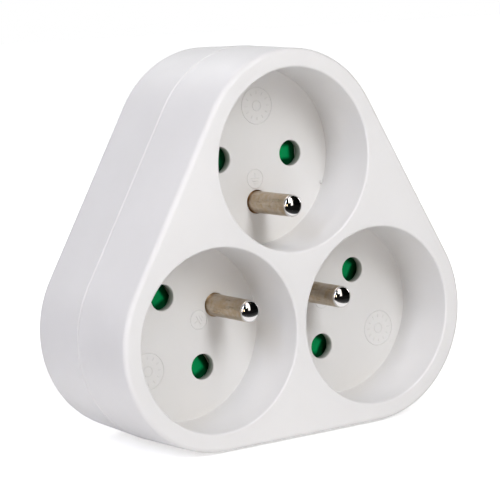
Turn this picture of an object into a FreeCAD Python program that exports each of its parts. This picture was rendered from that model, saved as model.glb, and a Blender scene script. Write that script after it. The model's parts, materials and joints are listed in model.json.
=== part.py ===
import FreeCAD, Part
import math
import os

from FreeCAD import Vector

# Three-way mains socket adapter, in millimetres.
# X is to the right seen from the front, Y points into the wall, Z is up.
# The origin is on the plug's axis, on the rear face of the body.
# Sockets are numbered from the top one, anticlockwise seen from the front.

# Standard mains contacts
PIN_R = 2.4
PIN_SPACING = 19.0
EARTH_OFFSET = 10.0
MATING_PIN_LENGTH = 19.0
MATING_PIN_END_GAP = 0.5

# Body outline: a triangle of three corners, each round its own socket
SOCKETS = 3
WEB_WALL = 2.6
RIM_WIDTH = 4.6
DRAFT_DEG = 1.5
SEAM_BEHIND_FLOOR = 1.2
SHELL_WALL = 2.6
FACE_WALL = 2.2
REAR_WALL = 2.0
FRONT_EDGE_R = 1.1
REAR_EDGE_R = 1.5
SEAM_CHAMFER = 0.25
LIP_WALL = 1.1
LIP_HEIGHT = 1.6
LIP_CLEARANCE = 0.1

# Recessed sockets
RECESS_DEPTH = 15.0
MOUTH_R = 19.7
RECESS_TAPER = 0.2
MOUTH_EDGE_R = 0.45
CUP_WALL = 2.1
FLOOR_WALL = 2.0
CONTACT_HOLE_R = 2.85

# Earth pins, riveted to the earth busbar behind the socket floor
EARTH_PIN_LENGTH = 14.3
EARTH_PIN_CONE = 0.4
EARTH_PIN_DOME = 0.7
EARTH_TIP_R = 2.05
EARTH_COLLAR_R = 3.4
EARTH_COLLAR_DEPTH = 1.2
EARTH_RIVET_R = 1.6
PIN_ROOT_R = 2.6
PIN_HOLE_CLEARANCE = 0.05

# Shutters, one behind each pair of contact holes
SHUTTER_CHAMBER = 4.7
SHUTTER_FRONT_GAP = 0.25
SHUTTER_REAR_GAP = 0.2
SHUTTER_SIDE_GAP = 0.2
SHUTTER_TRAVEL = 6.0
SHUTTER_PLATE = 1.2
SHUTTER_INNER = 3.4
SHUTTER_OUTER = 8.0
PAD_HALF_WIDTH = 3.4
PAD_TOP_HALF_WIDTH = 1.7
PAD_TOP_INNER = -1.4
PAD_TOP_OUTER = 1.6
PAD_TOP_FALL = 0.75
PAD_FOOT_OUTER = 4.4

# Return spring of each shutter, between its pocket and the carrier
SPRING_WIRE_R = 0.175
SPRING_R = 1.2
SPRING_TURNS = 8
SPRING_SEAT_INSET = 1.3
SPRING_POCKET_R = 1.55
SPRING_POCKET_DEPTH = 1.5
SPRING_BLOCK_HALF_WIDTH = 3.0
SPRING_PEG_R = 0.8
SPRING_PEG_LENGTH = 2.0

# Contact carrier: the insulating plate behind the shutters
CARRIER_WALL = 2.0
CARRIER_GAP = 0.7
CARRIER_HOLE_R = 3.0
CARRIER_FIT = 0.2
RIB_WALL = 1.2
CENTRE_POST_R = 3.0
STAKE_R = 1.5
STAKE_HEIGHT = 0.6

# Busbars and contact springs
BAR_THICKNESS = 1.0
BAR_WIDTH = 6.0
BAR_PAD_R = 4.4
BAR_HUB_R = 6.5
NEUTRAL_HUB_R = 5.0
NEUTRAL_STEP = 4.2
STEP_INSET = 10.5
STEP_RUN = 2.0
PIN_PAD_R = 3.2
EARTH_BAR_THICKNESS = 1.2
EARTH_BAR_WIDTH = 6.4
EARTH_TAB_END = 2.0
CONTACT_SHEET = 0.6
CONTACT_HALF_WIDTH = 3.6
CONTACT_LEAF_HALF_DEPTH = 2.5
CONTACT_BASE_INNER = 9.5
CONTACT_PINCH = 1.9
CONTACT_FLARE = 2.6
CONTACT_STRAIGHT = 2.6
CONTACT_FLARE_LENGTH = 1.8
CONTACT_REAR_GAP = 2.4
RIVET_INSET = 7.0
RIVET_R = 1.0
RIVET_HEAD_R = 1.8
RIVET_HEAD = 0.8

# Plug on the back
PLUG_R = 18.25
PLUG_DEPTH = 15.0
PLUG_FLAT_DEPTH = 0.85
PLUG_WALL = 2.05
PLUG_END_WALL = 3.0
PLUG_EDGE_R = 1.0
PLUG_PIN_TIP = 1.6
PLUG_PIN_TIP_R = 1.5
PLUG_COLLAR_R = 3.6
PLUG_COLLAR = 1.2
PLUG_TAIL_R = 2.0
PLUG_TIP_TAIL_R = 1.5
EARTH_HOLE_R = 2.85
EARTH_SLEEVE_R = 2.45
EARTH_SLEEVE_WALL = 0.85
EARTH_SLEEVE_REACH = 2.0
EARTH_SLEEVE_SLOT = 0.6
EARTH_SLEEVE_SLOT_LENGTH = 1.0
STRIP_THICKNESS = 0.8
STRIP_WIDTH = 6.0
STRIP_GROOVE = 1.25
STRIP_BULGE = 0.9
STRIP_FIT = 0.1
STRIP_EYE_WALL = 1.4
STRAP_INSET = 8.0
STRIP_END_INSET = 2.4
LINK_THICKNESS = 0.8
LINK_WIDTH = 4.0
LINK_AT = 10.6
RETAINER_GAP = 0.3
RETAINER_WALL = 2.5
RETAINER_SCREW_INSET = 4.2
RETAINER_SCREW_DEG = 48.0
RETAINER_BOSS_R = 2.6

# Screws
HOUSING_SCREW_R = 1.45
HOUSING_SCREW_HEAD_R = 2.8
HOUSING_SCREW_HEAD = 2.0
HOUSING_SCREW_GRIP = 8.5
HOUSING_SCREW_SINK = 4.0
HOUSING_POST_R = 3.8
HOUSING_POST_GAP = 1.15
HOUSING_BOSS_R = 3.6
SMALL_SCREW_R = 1.0
SMALL_SCREW_HEAD_R = 2.0
SMALL_SCREW_HEAD = 1.5
CARRIER_BOSS_R = 2.5
CARRIER_SCREW_OFFSET = 5.0
CARRIER_SCREW_GRIP = 4.8
RETAINER_SCREW_GRIP = 3.2
DRIVE_SLOT = 0.6
DRIVE_REACH = 1.2
PILOT_END_GAP = 0.5
THREAD_CLEARANCE = 0.02
SHANK_CLEARANCE = 0.2

# Planes and places that follow from the sizes above
SOCKET_SPACING = 2 * MOUTH_R + WEB_WALL
CORNER_R = MOUTH_R + RIM_WIDTH
FLOOR_R = MOUTH_R - RECESS_TAPER
BODY_DEPTH = RECESS_DEPTH + MATING_PIN_LENGTH + MATING_PIN_END_GAP + REAR_WALL
SOCKET_AT = SOCKET_SPACING / math.sqrt(3.0)
CONTACT_AT = math.hypot(SOCKET_AT, PIN_SPACING / 2)
CONTACT_TURN = math.degrees(math.atan2(PIN_SPACING / 2, SOCKET_AT))
WEB_AT = SOCKET_AT / 2
CARRIER_CORNER_R = CORNER_R - SHELL_WALL - CARRIER_GAP
CARRIER_SCREW_AT = WEB_AT + CARRIER_SCREW_OFFSET
HOUSING_SCREW_AT = WEB_AT + CORNER_R - SHELL_WALL - HOUSING_POST_R - HOUSING_POST_GAP
Y_FRONT = -BODY_DEPTH
Y_FLOOR = Y_FRONT + RECESS_DEPTH
Y_FLOOR_BACK = Y_FLOOR + FLOOR_WALL
Y_SEAM = Y_FLOOR_BACK + SEAM_BEHIND_FLOOR
Y_CARRIER = Y_FLOOR_BACK + SHUTTER_CHAMBER
Y_BAR = Y_CARRIER + CARRIER_WALL
Y_BAR_BACK = Y_BAR + BAR_THICKNESS
Y_CONTACT_END = -REAR_WALL - CONTACT_REAR_GAP
Y_NEUTRAL_HUB = Y_BAR + NEUTRAL_STEP
Y_EARTH_BAR = Y_CARRIER - EARTH_BAR_THICKNESS
Y_SHUTTER_FRONT = Y_FLOOR_BACK + SHUTTER_FRONT_GAP
Y_SHUTTER_BACK = Y_CARRIER - SHUTTER_REAR_GAP
Y_SHUTTER_PLATE = Y_SHUTTER_BACK - SHUTTER_PLATE
Y_SPRING = (Y_SHUTTER_FRONT + Y_SHUTTER_BACK) / 2
Y_PLUG_WALL = PLUG_DEPTH - PLUG_END_WALL
Y_RETAINER_BACK = Y_PLUG_WALL - PLUG_COLLAR
Y_RETAINER = Y_RETAINER_BACK - RETAINER_WALL
Y_STRAP = Y_PLUG_WALL - STRAP_INSET
Y_STRIP_END = PLUG_DEPTH - STRIP_END_INSET
PLUG_CAVITY_R = PLUG_R - PLUG_WALL
STRIP_SEAT = PLUG_R - STRIP_GROOVE
LINK_Z = (-LINK_AT - LINK_THICKNESS / 2, -LINK_AT + LINK_THICKNESS / 2)
RETAINER_SCREW_AT = PLUG_CAVITY_R - RETAINER_SCREW_INSET
RETAINER_SCREW_X = RETAINER_SCREW_AT * math.cos(math.radians(RETAINER_SCREW_DEG))
RETAINER_SCREW_Z = -RETAINER_SCREW_AT * math.sin(math.radians(RETAINER_SCREW_DEG))
STEP_OUTER = CONTACT_AT - STEP_INSET
STEP_INNER = STEP_OUTER - STEP_RUN
SPRING_START = SOCKET_AT + SHUTTER_OUTER - SPRING_POCKET_DEPTH
SPRING_END = SOCKET_AT + CARRIER_CORNER_R - SPRING_SEAT_INSET - RIB_WALL
SPRING_LENGTH = SPRING_END - SPRING_START
SHUTTER_HALF_WIDTH = PIN_SPACING / 2 + PAD_HALF_WIDTH
EARTH_PIN_AT = SOCKET_AT - EARTH_OFFSET
DRAFT_SLOPE = math.tan(math.radians(DRAFT_DEG))

ORIGIN = Vector(0, 0, 0)
ALONG_Y = Vector(0, 1, 0)
TURN_AXIS = Vector(0, -1, 0)
LIVE_SIDE = -1
NEUTRAL_SIDE = 1


def turned(shape, degrees):
    """Copy of a shape turned about the plug's axis, anticlockwise seen from the front."""
    copy = shape.copy()
    copy.rotate(ORIGIN, TURN_AXIS, degrees)
    return copy


def at_socket(shape, index):
    """Copy of a shape drawn at the top socket, taken to socket number index."""
    return turned(shape, index * 360.0 / SOCKETS)


def at_each_socket(shape):
    return [at_socket(shape, index) for index in range(SOCKETS)]


def at_each_web(shape):
    """Copies of a shape drawn straight above the axis, taken between the sockets."""
    return [turned(shape, (index + 0.5) * 360.0 / SOCKETS) for index in range(SOCKETS)]


def round_bar(radius, y_start, y_end, x=0.0, z=0.0):
    """Cylinder along Y."""
    return Part.makeCylinder(radius, y_end - y_start, Vector(x, y_start, z), ALONG_Y)


def cone_bar(radius_start, radius_end, y_start, y_end, x=0.0, z=0.0):
    """Cone along Y."""
    return Part.makeCone(radius_start, radius_end, y_end - y_start, Vector(x, y_start, z), ALONG_Y)


def block(x_range, y_range, z_range):
    """Box between two limits along each axis."""
    size = [high - low for low, high in (x_range, y_range, z_range)]
    return Part.makeBox(*size, Vector(x_range[0], y_range[0], z_range[0]))


def mirrored_block(x_range, y_range, z_range):
    """Two boxes, one on each side of the YZ plane."""
    right = block(x_range, y_range, z_range)
    left = right.mirror(ORIGIN, Vector(1, 0, 0))
    return [left, right]


def dome(base_r, height, y_base, x, z):
    """Spherical cap that stands on the plane y_base and points to -Y."""
    sphere_r = (base_r ** 2 + height ** 2) / (2 * height)
    sphere = Part.makeSphere(sphere_r, Vector(x, y_base - height + sphere_r, z))
    return sphere.common(round_bar(base_r, y_base - height, y_base, x, z))


def rounded_triangle(corner_r, y):
    """Closed outline: an arc round each socket and a straight side between them."""
    edges = []
    for index in range(SOCKETS):
        middle = 90.0 + index * 360.0 / SOCKETS
        half = 180.0 / SOCKETS
        centre = polar(SOCKET_AT, middle, y)
        start = centre + polar(corner_r, middle - half, 0)
        through = centre + polar(corner_r, middle, 0)
        end = centre + polar(corner_r, middle + half, 0)
        following = polar(SOCKET_AT, middle + 2 * half, y) + polar(corner_r, middle + half, 0)
        edges.append(Part.Arc(start, through, end).toShape())
        edges.append(Part.makeLine(end, following))
    return Part.Wire(edges)


def polar(radius, degrees, y):
    """Point at a distance from the plug's axis, in the direction seen from the front."""
    angle = math.radians(degrees)
    return Vector(radius * math.cos(angle), y, radius * math.sin(angle))


def triangle_block(corner_r, y_start, y_end):
    """Straight-sided prism on the rounded triangle."""
    face = Part.Face(rounded_triangle(corner_r, y_start))
    return face.extrude(Vector(0, y_end - y_start, 0))


def drafted_block(seam_r, y_seam, y_end):
    """Prism on the rounded triangle that narrows away from the seam by the draft."""
    end_r = seam_r - abs(y_end - y_seam) * DRAFT_SLOPE
    wires = [rounded_triangle(seam_r, y_seam), rounded_triangle(end_r, y_end)]
    return Part.makeLoft(wires, True, True)


def prism(points, direction):
    """Solid from a closed polygon, pushed along a vector."""
    wire = Part.makePolygon(points + [points[0]])
    return Part.Face(wire).extrude(direction)


def sheet_outline(points, thickness):
    """Closed outline of a bent sheet: the given line, and the same line offset to its left."""
    normals = []
    for (u1, v1), (u2, v2) in zip(points, points[1:]):
        length = math.hypot(u2 - u1, v2 - v1)
        normals.append((-(v2 - v1) / length, (u2 - u1) / length))
    offset = []
    for index, (u, v) in enumerate(points):
        before = normals[max(index - 1, 0)]
        after = normals[min(index, len(normals) - 1)]
        scale = thickness / (1 + before[0] * after[0] + before[1] * after[1])
        offset.append((u + (before[0] + after[0]) * scale, v + (before[1] + after[1]) * scale))
    return points + offset[::-1]


def edges_in_plane(shape, y, near=None, within=None):
    """Edges that lie in the plane y, round a point given by near, within a radius."""
    found = []
    for edge in shape.Edges:
        box = edge.BoundBox
        if abs(box.YMin - y) > 1e-4 or abs(box.YMax - y) > 1e-4:
            continue
        if near is not None:
            flat = [vertex.Point - Vector(near.x, y, near.z) for vertex in edge.Vertexes]
            if max(point.Length for point in flat) > within:
                continue
        found.append(edge)
    return found


def outer_edges(shape, y):
    """Edges of the body's outer outline in the plane y."""
    return [edge for edge in edges_in_plane(shape, y) if is_outer(edge, y)]


def is_outer(edge, y):
    """True where both ends of an edge lie on the rounded triangle of the body there."""
    corner_r = CORNER_R - abs(y - Y_SEAM) * DRAFT_SLOPE
    outline = rounded_triangle(corner_r, y)
    return all(outline.distToShape(vertex)[0] < 1e-3 for vertex in edge.Vertexes)


def drilled_screw(radius, length, head_r, head, y_seat, towards, x, z):
    """Screw with a domed head and a cross slot; towards is the way its shank points along Y."""
    shank_ends = sorted((y_seat, y_seat + towards * length))
    head_ends = sorted((y_seat, y_seat - towards * head))
    screw = round_bar(radius, *shank_ends, x, z).fuse(round_bar(head_r, *head_ends, x, z))
    slot_top = y_seat - towards * head
    slot_ends = tuple(sorted((slot_top, slot_top + towards * head / 2)))
    half = DRIVE_SLOT / 2
    flat = block((x - DRIVE_REACH, x + DRIVE_REACH), slot_ends, (z - half, z + half))
    upright = block((x - half, x + half), slot_ends, (z - DRIVE_REACH, z + DRIVE_REACH))
    return screw.cut([flat, upright])


def contact_points():
    """Both contact holes of the top socket, as x and z."""
    return [(side * PIN_SPACING / 2, SOCKET_AT) for side in (LIVE_SIDE, NEUTRAL_SIDE)]


def make_front_housing():
    """Front shell: face, skirt, three recessed cups and the bosses for screws."""
    outer = drafted_block(CORNER_R, Y_SEAM, Y_FRONT)
    outer = outer.makeFillet(FRONT_EDGE_R, outer_edges(outer, Y_FRONT))
    outer = outer.makeChamfer(SEAM_CHAMFER, outer_edges(outer, Y_SEAM))
    inside = drafted_block(CORNER_R - SHELL_WALL, Y_SEAM, Y_FRONT + FACE_WALL)
    solid_parts = at_each_socket(round_bar(MOUTH_R + CUP_WALL, Y_FRONT, Y_FLOOR_BACK, 0, SOCKET_AT))
    solid_parts += at_each_web(round_bar(HOUSING_BOSS_R, Y_FRONT, Y_SEAM, 0, HOUSING_SCREW_AT))
    hollow = inside.cut(solid_parts)
    shell = outer.cut(hollow)
    shell = shell.fuse([seam_lip()] + at_each_web(carrier_boss()))
    recess = cone_bar(MOUTH_R, FLOOR_R, Y_FRONT, Y_FLOOR, 0, SOCKET_AT)
    shell = shell.cut(at_each_socket(recess))
    mouths = []
    for index in range(SOCKETS):
        centre = polar(SOCKET_AT, 90.0 + index * 360.0 / SOCKETS, Y_FRONT)
        mouths += edges_in_plane(shell, Y_FRONT, centre, MOUTH_R + MOUTH_EDGE_R)
    shell = shell.makeFillet(MOUTH_EDGE_R, mouths)
    through = [round_bar(CONTACT_HOLE_R, Y_FLOOR, Y_FLOOR_BACK, x, z) for x, z in contact_points()]
    through.append(round_bar(PIN_ROOT_R + PIN_HOLE_CLEARANCE, Y_FLOOR, Y_FLOOR_BACK, 0, EARTH_PIN_AT))
    holes = [hole for shape in through for hole in at_each_socket(shape)]
    pilot_r = HOUSING_SCREW_R + THREAD_CLEARANCE
    pilot_y = (Y_SEAM - HOUSING_SCREW_GRIP - PILOT_END_GAP, Y_SEAM)
    pilot = round_bar(pilot_r, *pilot_y, 0, HOUSING_SCREW_AT)
    small_r = SMALL_SCREW_R + THREAD_CLEARANCE
    small_pilot_y = (Y_CARRIER - CARRIER_SCREW_GRIP - PILOT_END_GAP, Y_CARRIER)
    small_pilot = round_bar(small_r, *small_pilot_y, 0, CARRIER_SCREW_AT)
    return shell.cut(holes + at_each_web(pilot) + at_each_web(small_pilot))


def seam_lip():
    """Ring on the front shell that enters the rear shell at the seam."""
    lip_r = CORNER_R - SHELL_WALL
    root = Y_SEAM - LIP_WALL
    ring = triangle_block(lip_r + LIP_WALL, root, Y_SEAM + LIP_HEIGHT)
    return ring.cut(triangle_block(lip_r, root, Y_SEAM + LIP_HEIGHT))


def carrier_boss():
    """Boss behind the floors of two cups, on which the carrier is screwed."""
    return round_bar(CARRIER_BOSS_R, Y_FLOOR_BACK, Y_CARRIER, 0, CARRIER_SCREW_AT)


def make_rear_housing():
    """Rear shell: skirt, rear wall, screw posts and the hollow plug body."""
    outer = drafted_block(CORNER_R, Y_SEAM, 0.0)
    outer = outer.makeFillet(REAR_EDGE_R, outer_edges(outer, 0.0))
    outer = outer.makeChamfer(SEAM_CHAMFER, outer_edges(outer, Y_SEAM))
    inside = drafted_block(CORNER_R - SHELL_WALL, Y_SEAM, -REAR_WALL)
    post = round_bar(HOUSING_POST_R, Y_SEAM, 0.0, 0, HOUSING_SCREW_AT)
    shell = outer.cut(inside.cut(at_each_web(post)))
    rebate_r = CORNER_R - SHELL_WALL + LIP_WALL + LIP_CLEARANCE
    rebate_end = Y_SEAM + LIP_HEIGHT + LIP_CLEARANCE
    rebate = triangle_block(rebate_r, Y_SEAM, rebate_end)
    rebate = rebate.cut(at_each_web(post))
    shell = shell.cut(rebate).fuse(plug_body())
    shell = shell.cut([round_bar(PLUG_CAVITY_R, -REAR_WALL, Y_PLUG_WALL)])
    shell = shell.fuse(retainer_bosses())
    return shell.cut(rear_holes())


def plug_body():
    """Round plug body with a flat on each side and a rounded end edge."""
    body = round_bar(PLUG_R, -REAR_WALL, PLUG_DEPTH)
    body = body.makeFillet(PLUG_EDGE_R, edges_in_plane(body, PLUG_DEPTH))
    half = PLUG_R - PLUG_FLAT_DEPTH
    flats = block((-half, half), (-REAR_WALL, PLUG_DEPTH), (-PLUG_R, PLUG_R))
    return body.common(flats)


def retainer_bosses():
    """Bosses on the plug's end wall that the retainer is screwed to."""
    return [
        round_bar(RETAINER_BOSS_R, Y_RETAINER_BACK, Y_PLUG_WALL, side * RETAINER_SCREW_X, RETAINER_SCREW_Z)
        for side in (LIVE_SIDE, NEUTRAL_SIDE)
    ]


def rear_holes():
    """Everything that is cut from the rear shell: pin holes, screw holes and strip grooves."""
    cuts = []
    for side in (LIVE_SIDE, NEUTRAL_SIDE):
        pin_x = side * PIN_SPACING / 2
        screw_x = side * RETAINER_SCREW_X
        pilot_start = Y_RETAINER_BACK
        pilot_end = Y_RETAINER_BACK + RETAINER_SCREW_GRIP + PILOT_END_GAP
        pilot_r = SMALL_SCREW_R + THREAD_CLEARANCE
        cuts.append(round_bar(PIN_ROOT_R + PIN_HOLE_CLEARANCE, Y_PLUG_WALL, PLUG_DEPTH, pin_x, 0))
        cuts.append(round_bar(pilot_r, pilot_start, pilot_end, screw_x, RETAINER_SCREW_Z))
    cuts.append(round_bar(EARTH_HOLE_R, Y_PLUG_WALL, PLUG_DEPTH, 0, EARTH_OFFSET))
    shank_r = HOUSING_SCREW_R + SHANK_CLEARANCE
    head_r = HOUSING_SCREW_HEAD_R + SHANK_CLEARANCE
    cuts += at_each_web(round_bar(shank_r, Y_SEAM, -HOUSING_SCREW_SINK, 0, HOUSING_SCREW_AT))
    cuts += at_each_web(round_bar(head_r, -HOUSING_SCREW_SINK, 0.0, 0, HOUSING_SCREW_AT))
    half = STRIP_WIDTH / 2 + STRIP_FIT
    strap = (Y_STRAP - STRIP_FIT, Y_STRAP + STRIP_THICKNESS + STRIP_FIT)
    groove = (Y_STRAP - STRIP_FIT, Y_STRIP_END + STRIP_THICKNESS)
    for side in (1, -1):
        slot_z = tuple(sorted((side * (STRIP_SEAT - PLUG_WALL), side * PLUG_R)))
        groove_z = tuple(sorted((side * STRIP_SEAT, side * PLUG_R)))
        cuts.append(block((-half, half), strap, slot_z))
        cuts.append(block((-half, half), groove, groove_z))
    return cuts


def make_contact_carrier():
    """Plate between the shutters and the contacts, with the shutters' guides in front."""
    plate = triangle_block(CARRIER_CORNER_R, Y_CARRIER, Y_BAR)
    trim = triangle_block(CARRIER_CORNER_R, Y_FLOOR_BACK, Y_CARRIER)
    guides = [guide.common(trim) for shape in shutter_guides() for guide in at_each_socket(shape)]
    post = round_bar(CENTRE_POST_R, Y_BAR, Y_NEUTRAL_HUB)
    stake = round_bar(STAKE_R, Y_NEUTRAL_HUB, Y_NEUTRAL_HUB + BAR_THICKNESS + STAKE_HEIGHT)
    carrier = plate.fuse(guides + [post, stake])
    holes = [round_bar(CARRIER_HOLE_R, Y_CARRIER, Y_BAR, x, z) for x, z in contact_points()]
    cuts = [cut for shape in holes for cut in at_each_socket(shape)]
    cuts += at_each_web(round_bar(SMALL_SCREW_R + SHANK_CLEARANCE, Y_CARRIER, Y_BAR, 0, CARRIER_SCREW_AT))
    cuts += at_each_web(post_notch())
    half = LINK_WIDTH / 2 + STRIP_FIT
    slot_z = (LINK_Z[0] - STRIP_FIT, LINK_Z[1] + STRIP_FIT)
    cuts.append(block((-half, half), (Y_CARRIER, Y_BAR), slot_z))
    return carrier.cut(cuts)


def post_notch():
    """Notch in the carrier's side, open to the outside, that clears a screw post."""
    half = HOUSING_POST_R + CARRIER_FIT
    outside = WEB_AT + CARRIER_CORNER_R + CARRIER_FIT
    gap = block((-half, half), (Y_CARRIER, Y_BAR), (HOUSING_SCREW_AT, outside))
    return gap.fuse(round_bar(half, Y_CARRIER, Y_BAR, 0, HOUSING_SCREW_AT)).removeSplitter()


def shutter_guides():
    """Ribs round the top socket's shutter: two sides, two stops and the spring's seat."""
    side = SHUTTER_HALF_WIDTH + SHUTTER_SIDE_GAP
    inner = SOCKET_AT - SHUTTER_INNER - SHUTTER_SIDE_GAP
    outer = SOCKET_AT + SHUTTER_OUTER + SHUTTER_TRAVEL + SHUTTER_SIDE_GAP
    full = (Y_FLOOR_BACK, Y_CARRIER)
    low = (Y_SHUTTER_PLATE, Y_CARRIER)
    guides = mirrored_block((side, side + RIB_WALL), full, (inner - RIB_WALL, outer))
    guides.append(block((-side, side), low, (inner - RIB_WALL, inner)))
    stop_inner = SPRING_BLOCK_HALF_WIDTH * 2
    guides += mirrored_block((stop_inner, side - RIB_WALL), low, (outer, outer + RIB_WALL))
    seat_half = SPRING_BLOCK_HALF_WIDTH
    guides.append(block((-seat_half, seat_half), full, (SPRING_END, SPRING_END + RIB_WALL)))
    peg_foot = Vector(0, Y_SPRING, SPRING_END - SPRING_PEG_LENGTH)
    guides.append(Part.makeCylinder(SPRING_PEG_R, SPRING_PEG_LENGTH, peg_foot, Vector(0, 0, 1)))
    return guides


def make_shutter():
    """Shutter of the top socket: a plate with a ramped pad behind each contact hole."""
    z_range = (SOCKET_AT - SHUTTER_INNER, SOCKET_AT + SHUTTER_OUTER)
    x_range = (-SHUTTER_HALF_WIDTH, SHUTTER_HALF_WIDTH)
    plate = block(x_range, (Y_SHUTTER_PLATE, Y_SHUTTER_BACK), z_range)
    pads = [shutter_pad(x) for x, z in contact_points()]
    half = SPRING_BLOCK_HALF_WIDTH
    block_z = (SOCKET_AT + PAD_FOOT_OUTER, z_range[1])
    spring_block = block((-half, half), (Y_SHUTTER_FRONT, Y_SHUTTER_PLATE), block_z)
    pocket_start = Vector(0, Y_SPRING, SPRING_START)
    pocket = Part.makeCylinder(SPRING_POCKET_R, SPRING_POCKET_DEPTH, pocket_start, Vector(0, 0, 1))
    return plate.fuse(pads + [spring_block]).cut(pocket)


def shutter_pad(x):
    """Pad with a slightly tilted top, a steep ramp towards the earth pin and sloped sides."""
    section = [
        (-SHUTTER_INNER, Y_SHUTTER_PLATE),
        (PAD_TOP_INNER, Y_SHUTTER_FRONT + PAD_TOP_FALL),
        (PAD_TOP_OUTER, Y_SHUTTER_FRONT),
        (PAD_FOOT_OUTER, Y_SHUTTER_PLATE),
    ]
    across = [
        (-PAD_HALF_WIDTH, Y_SHUTTER_PLATE),
        (-PAD_TOP_HALF_WIDTH, Y_SHUTTER_FRONT),
        (PAD_TOP_HALF_WIDTH, Y_SHUTTER_FRONT),
        (PAD_HALF_WIDTH, Y_SHUTTER_PLATE),
    ]
    long_points = [Vector(x - PAD_HALF_WIDTH, y, SOCKET_AT + s) for s, y in section]
    wide_points = [Vector(x + w, y, SOCKET_AT - SHUTTER_INNER) for w, y in across]
    along = prism(long_points, Vector(2 * PAD_HALF_WIDTH, 0, 0))
    reach = SHUTTER_INNER + PAD_FOOT_OUTER
    return along.common(prism(wide_points, Vector(0, 0, reach)))


def make_shutter_spring():
    """Coil spring of the top socket's shutter, at its closed length."""
    height = SPRING_LENGTH - 2 * SPRING_WIRE_R
    path = Part.makeHelix(height / SPRING_TURNS, height, SPRING_R)
    start = Vector(SPRING_R, 0, 0)
    circle = Part.makeCircle(SPRING_WIRE_R, start, Vector(0, 1, 0))
    spring = Part.Wire(path).makePipeShell([Part.Wire(circle)], True, True)
    spring.translate(Vector(0, Y_SPRING, SPRING_START + SPRING_WIRE_R))
    return spring


def make_earth_pin():
    """Earth pin of the top socket: polished tip, shank, root, collar and riveted tail."""
    y_tip = Y_FLOOR - EARTH_PIN_LENGTH
    y_cone = y_tip + EARTH_PIN_DOME
    y_shank = y_cone + EARTH_PIN_CONE
    tip = dome(EARTH_TIP_R, EARTH_PIN_DOME, y_cone, 0, EARTH_PIN_AT)
    cone = cone_bar(EARTH_TIP_R, PIN_R, y_cone, y_shank, 0, EARTH_PIN_AT)
    shank = round_bar(PIN_R, y_shank, Y_FLOOR, 0, EARTH_PIN_AT)
    root = round_bar(PIN_ROOT_R, Y_FLOOR, Y_EARTH_BAR, 0, EARTH_PIN_AT)
    collar = round_bar(EARTH_COLLAR_R, Y_EARTH_BAR - EARTH_COLLAR_DEPTH, Y_EARTH_BAR, 0, EARTH_PIN_AT)
    tail = round_bar(EARTH_RIVET_R, Y_EARTH_BAR, Y_CARRIER, 0, EARTH_PIN_AT)
    return tip.fuse([cone, shank, root, collar, tail]).removeSplitter()


def make_earth_busbar():
    """Star with an arm to each earth pin and a tab to the plug's earth link."""
    arm_end = EARTH_PIN_AT
    half = EARTH_BAR_WIDTH / 2
    arm = block((-half, half), (Y_EARTH_BAR, Y_CARRIER), (0.0, arm_end))
    end = round_bar(half, Y_EARTH_BAR, Y_CARRIER, 0, arm_end)
    tab = block((-half, half), (Y_EARTH_BAR, Y_CARRIER), (LINK_Z[0] - EARTH_TAB_END, 0.0))
    star = tab.fuse(at_each_socket(arm) + at_each_socket(end)).removeSplitter()
    rivet_hole = round_bar(EARTH_RIVET_R, Y_EARTH_BAR, Y_CARRIER, 0, EARTH_PIN_AT)
    link_half = LINK_WIDTH / 2
    slot = block((-link_half, link_half), (Y_EARTH_BAR, Y_CARRIER), LINK_Z)
    return star.cut(at_each_socket(rivet_hole) + [slot])


def flat_arm():
    """Arm of the live busbar, drawn straight up from the axis."""
    half = BAR_WIDTH / 2
    arm = block((-half, half), (Y_BAR, Y_BAR_BACK), (0.0, CONTACT_AT))
    return arm.fuse(round_bar(BAR_PAD_R, Y_BAR, Y_BAR_BACK, 0, CONTACT_AT))


def stepped_arm():
    """Arm of the neutral busbar, stepped back near the axis to pass behind the live one."""
    y_hub = Y_NEUTRAL_HUB + BAR_THICKNESS
    line = [(0.0, y_hub), (STEP_INNER, y_hub), (STEP_OUTER, Y_BAR_BACK), (CONTACT_AT, Y_BAR_BACK)]
    outline = [(z, y) for z, y in line] + [(z, y - BAR_THICKNESS) for z, y in line[::-1]]
    half = BAR_WIDTH / 2
    arm = prism([Vector(-half, y, z) for z, y in outline], Vector(BAR_WIDTH, 0, 0))
    return arm.fuse(round_bar(BAR_PAD_R, Y_BAR, Y_BAR_BACK, 0, CONTACT_AT))


def contact_turns(side):
    """Angle of each contact of one pole from straight up, anticlockwise seen from the front."""
    return [index * 360.0 / SOCKETS - side * CONTACT_TURN for index in range(SOCKETS)]


def bar_holes(side):
    """Holes of a busbar for the mating pins and the contact rivets."""
    pin_hole = round_bar(CARRIER_HOLE_R, Y_BAR, Y_BAR_BACK, 0, CONTACT_AT)
    rivet_hole = round_bar(RIVET_R, Y_BAR, Y_BAR_BACK, 0, CONTACT_AT - RIVET_INSET)
    return [turned(hole, turn) for hole in (pin_hole, rivet_hole) for turn in contact_turns(side)]


def make_live_busbar():
    """Flat star that joins the plug's live pin to one contact of each socket."""
    pin_x = -LIVE_SIDE * PIN_SPACING / 2
    hub = round_bar(BAR_HUB_R, Y_BAR, Y_BAR_BACK)
    pad = round_bar(PIN_PAD_R, Y_BAR, Y_BAR_BACK, pin_x, 0)
    arms = [turned(flat_arm(), turn) for turn in contact_turns(LIVE_SIDE)]
    bar = hub.fuse([pad] + arms).removeSplitter()
    cuts = bar_holes(LIVE_SIDE)
    cuts.append(round_bar(CENTRE_POST_R + CARRIER_FIT, Y_BAR, Y_BAR_BACK))
    cuts.append(round_bar(PLUG_TIP_TAIL_R, Y_BAR, Y_BAR_BACK, pin_x, 0))
    return bar.cut(cuts)


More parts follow.
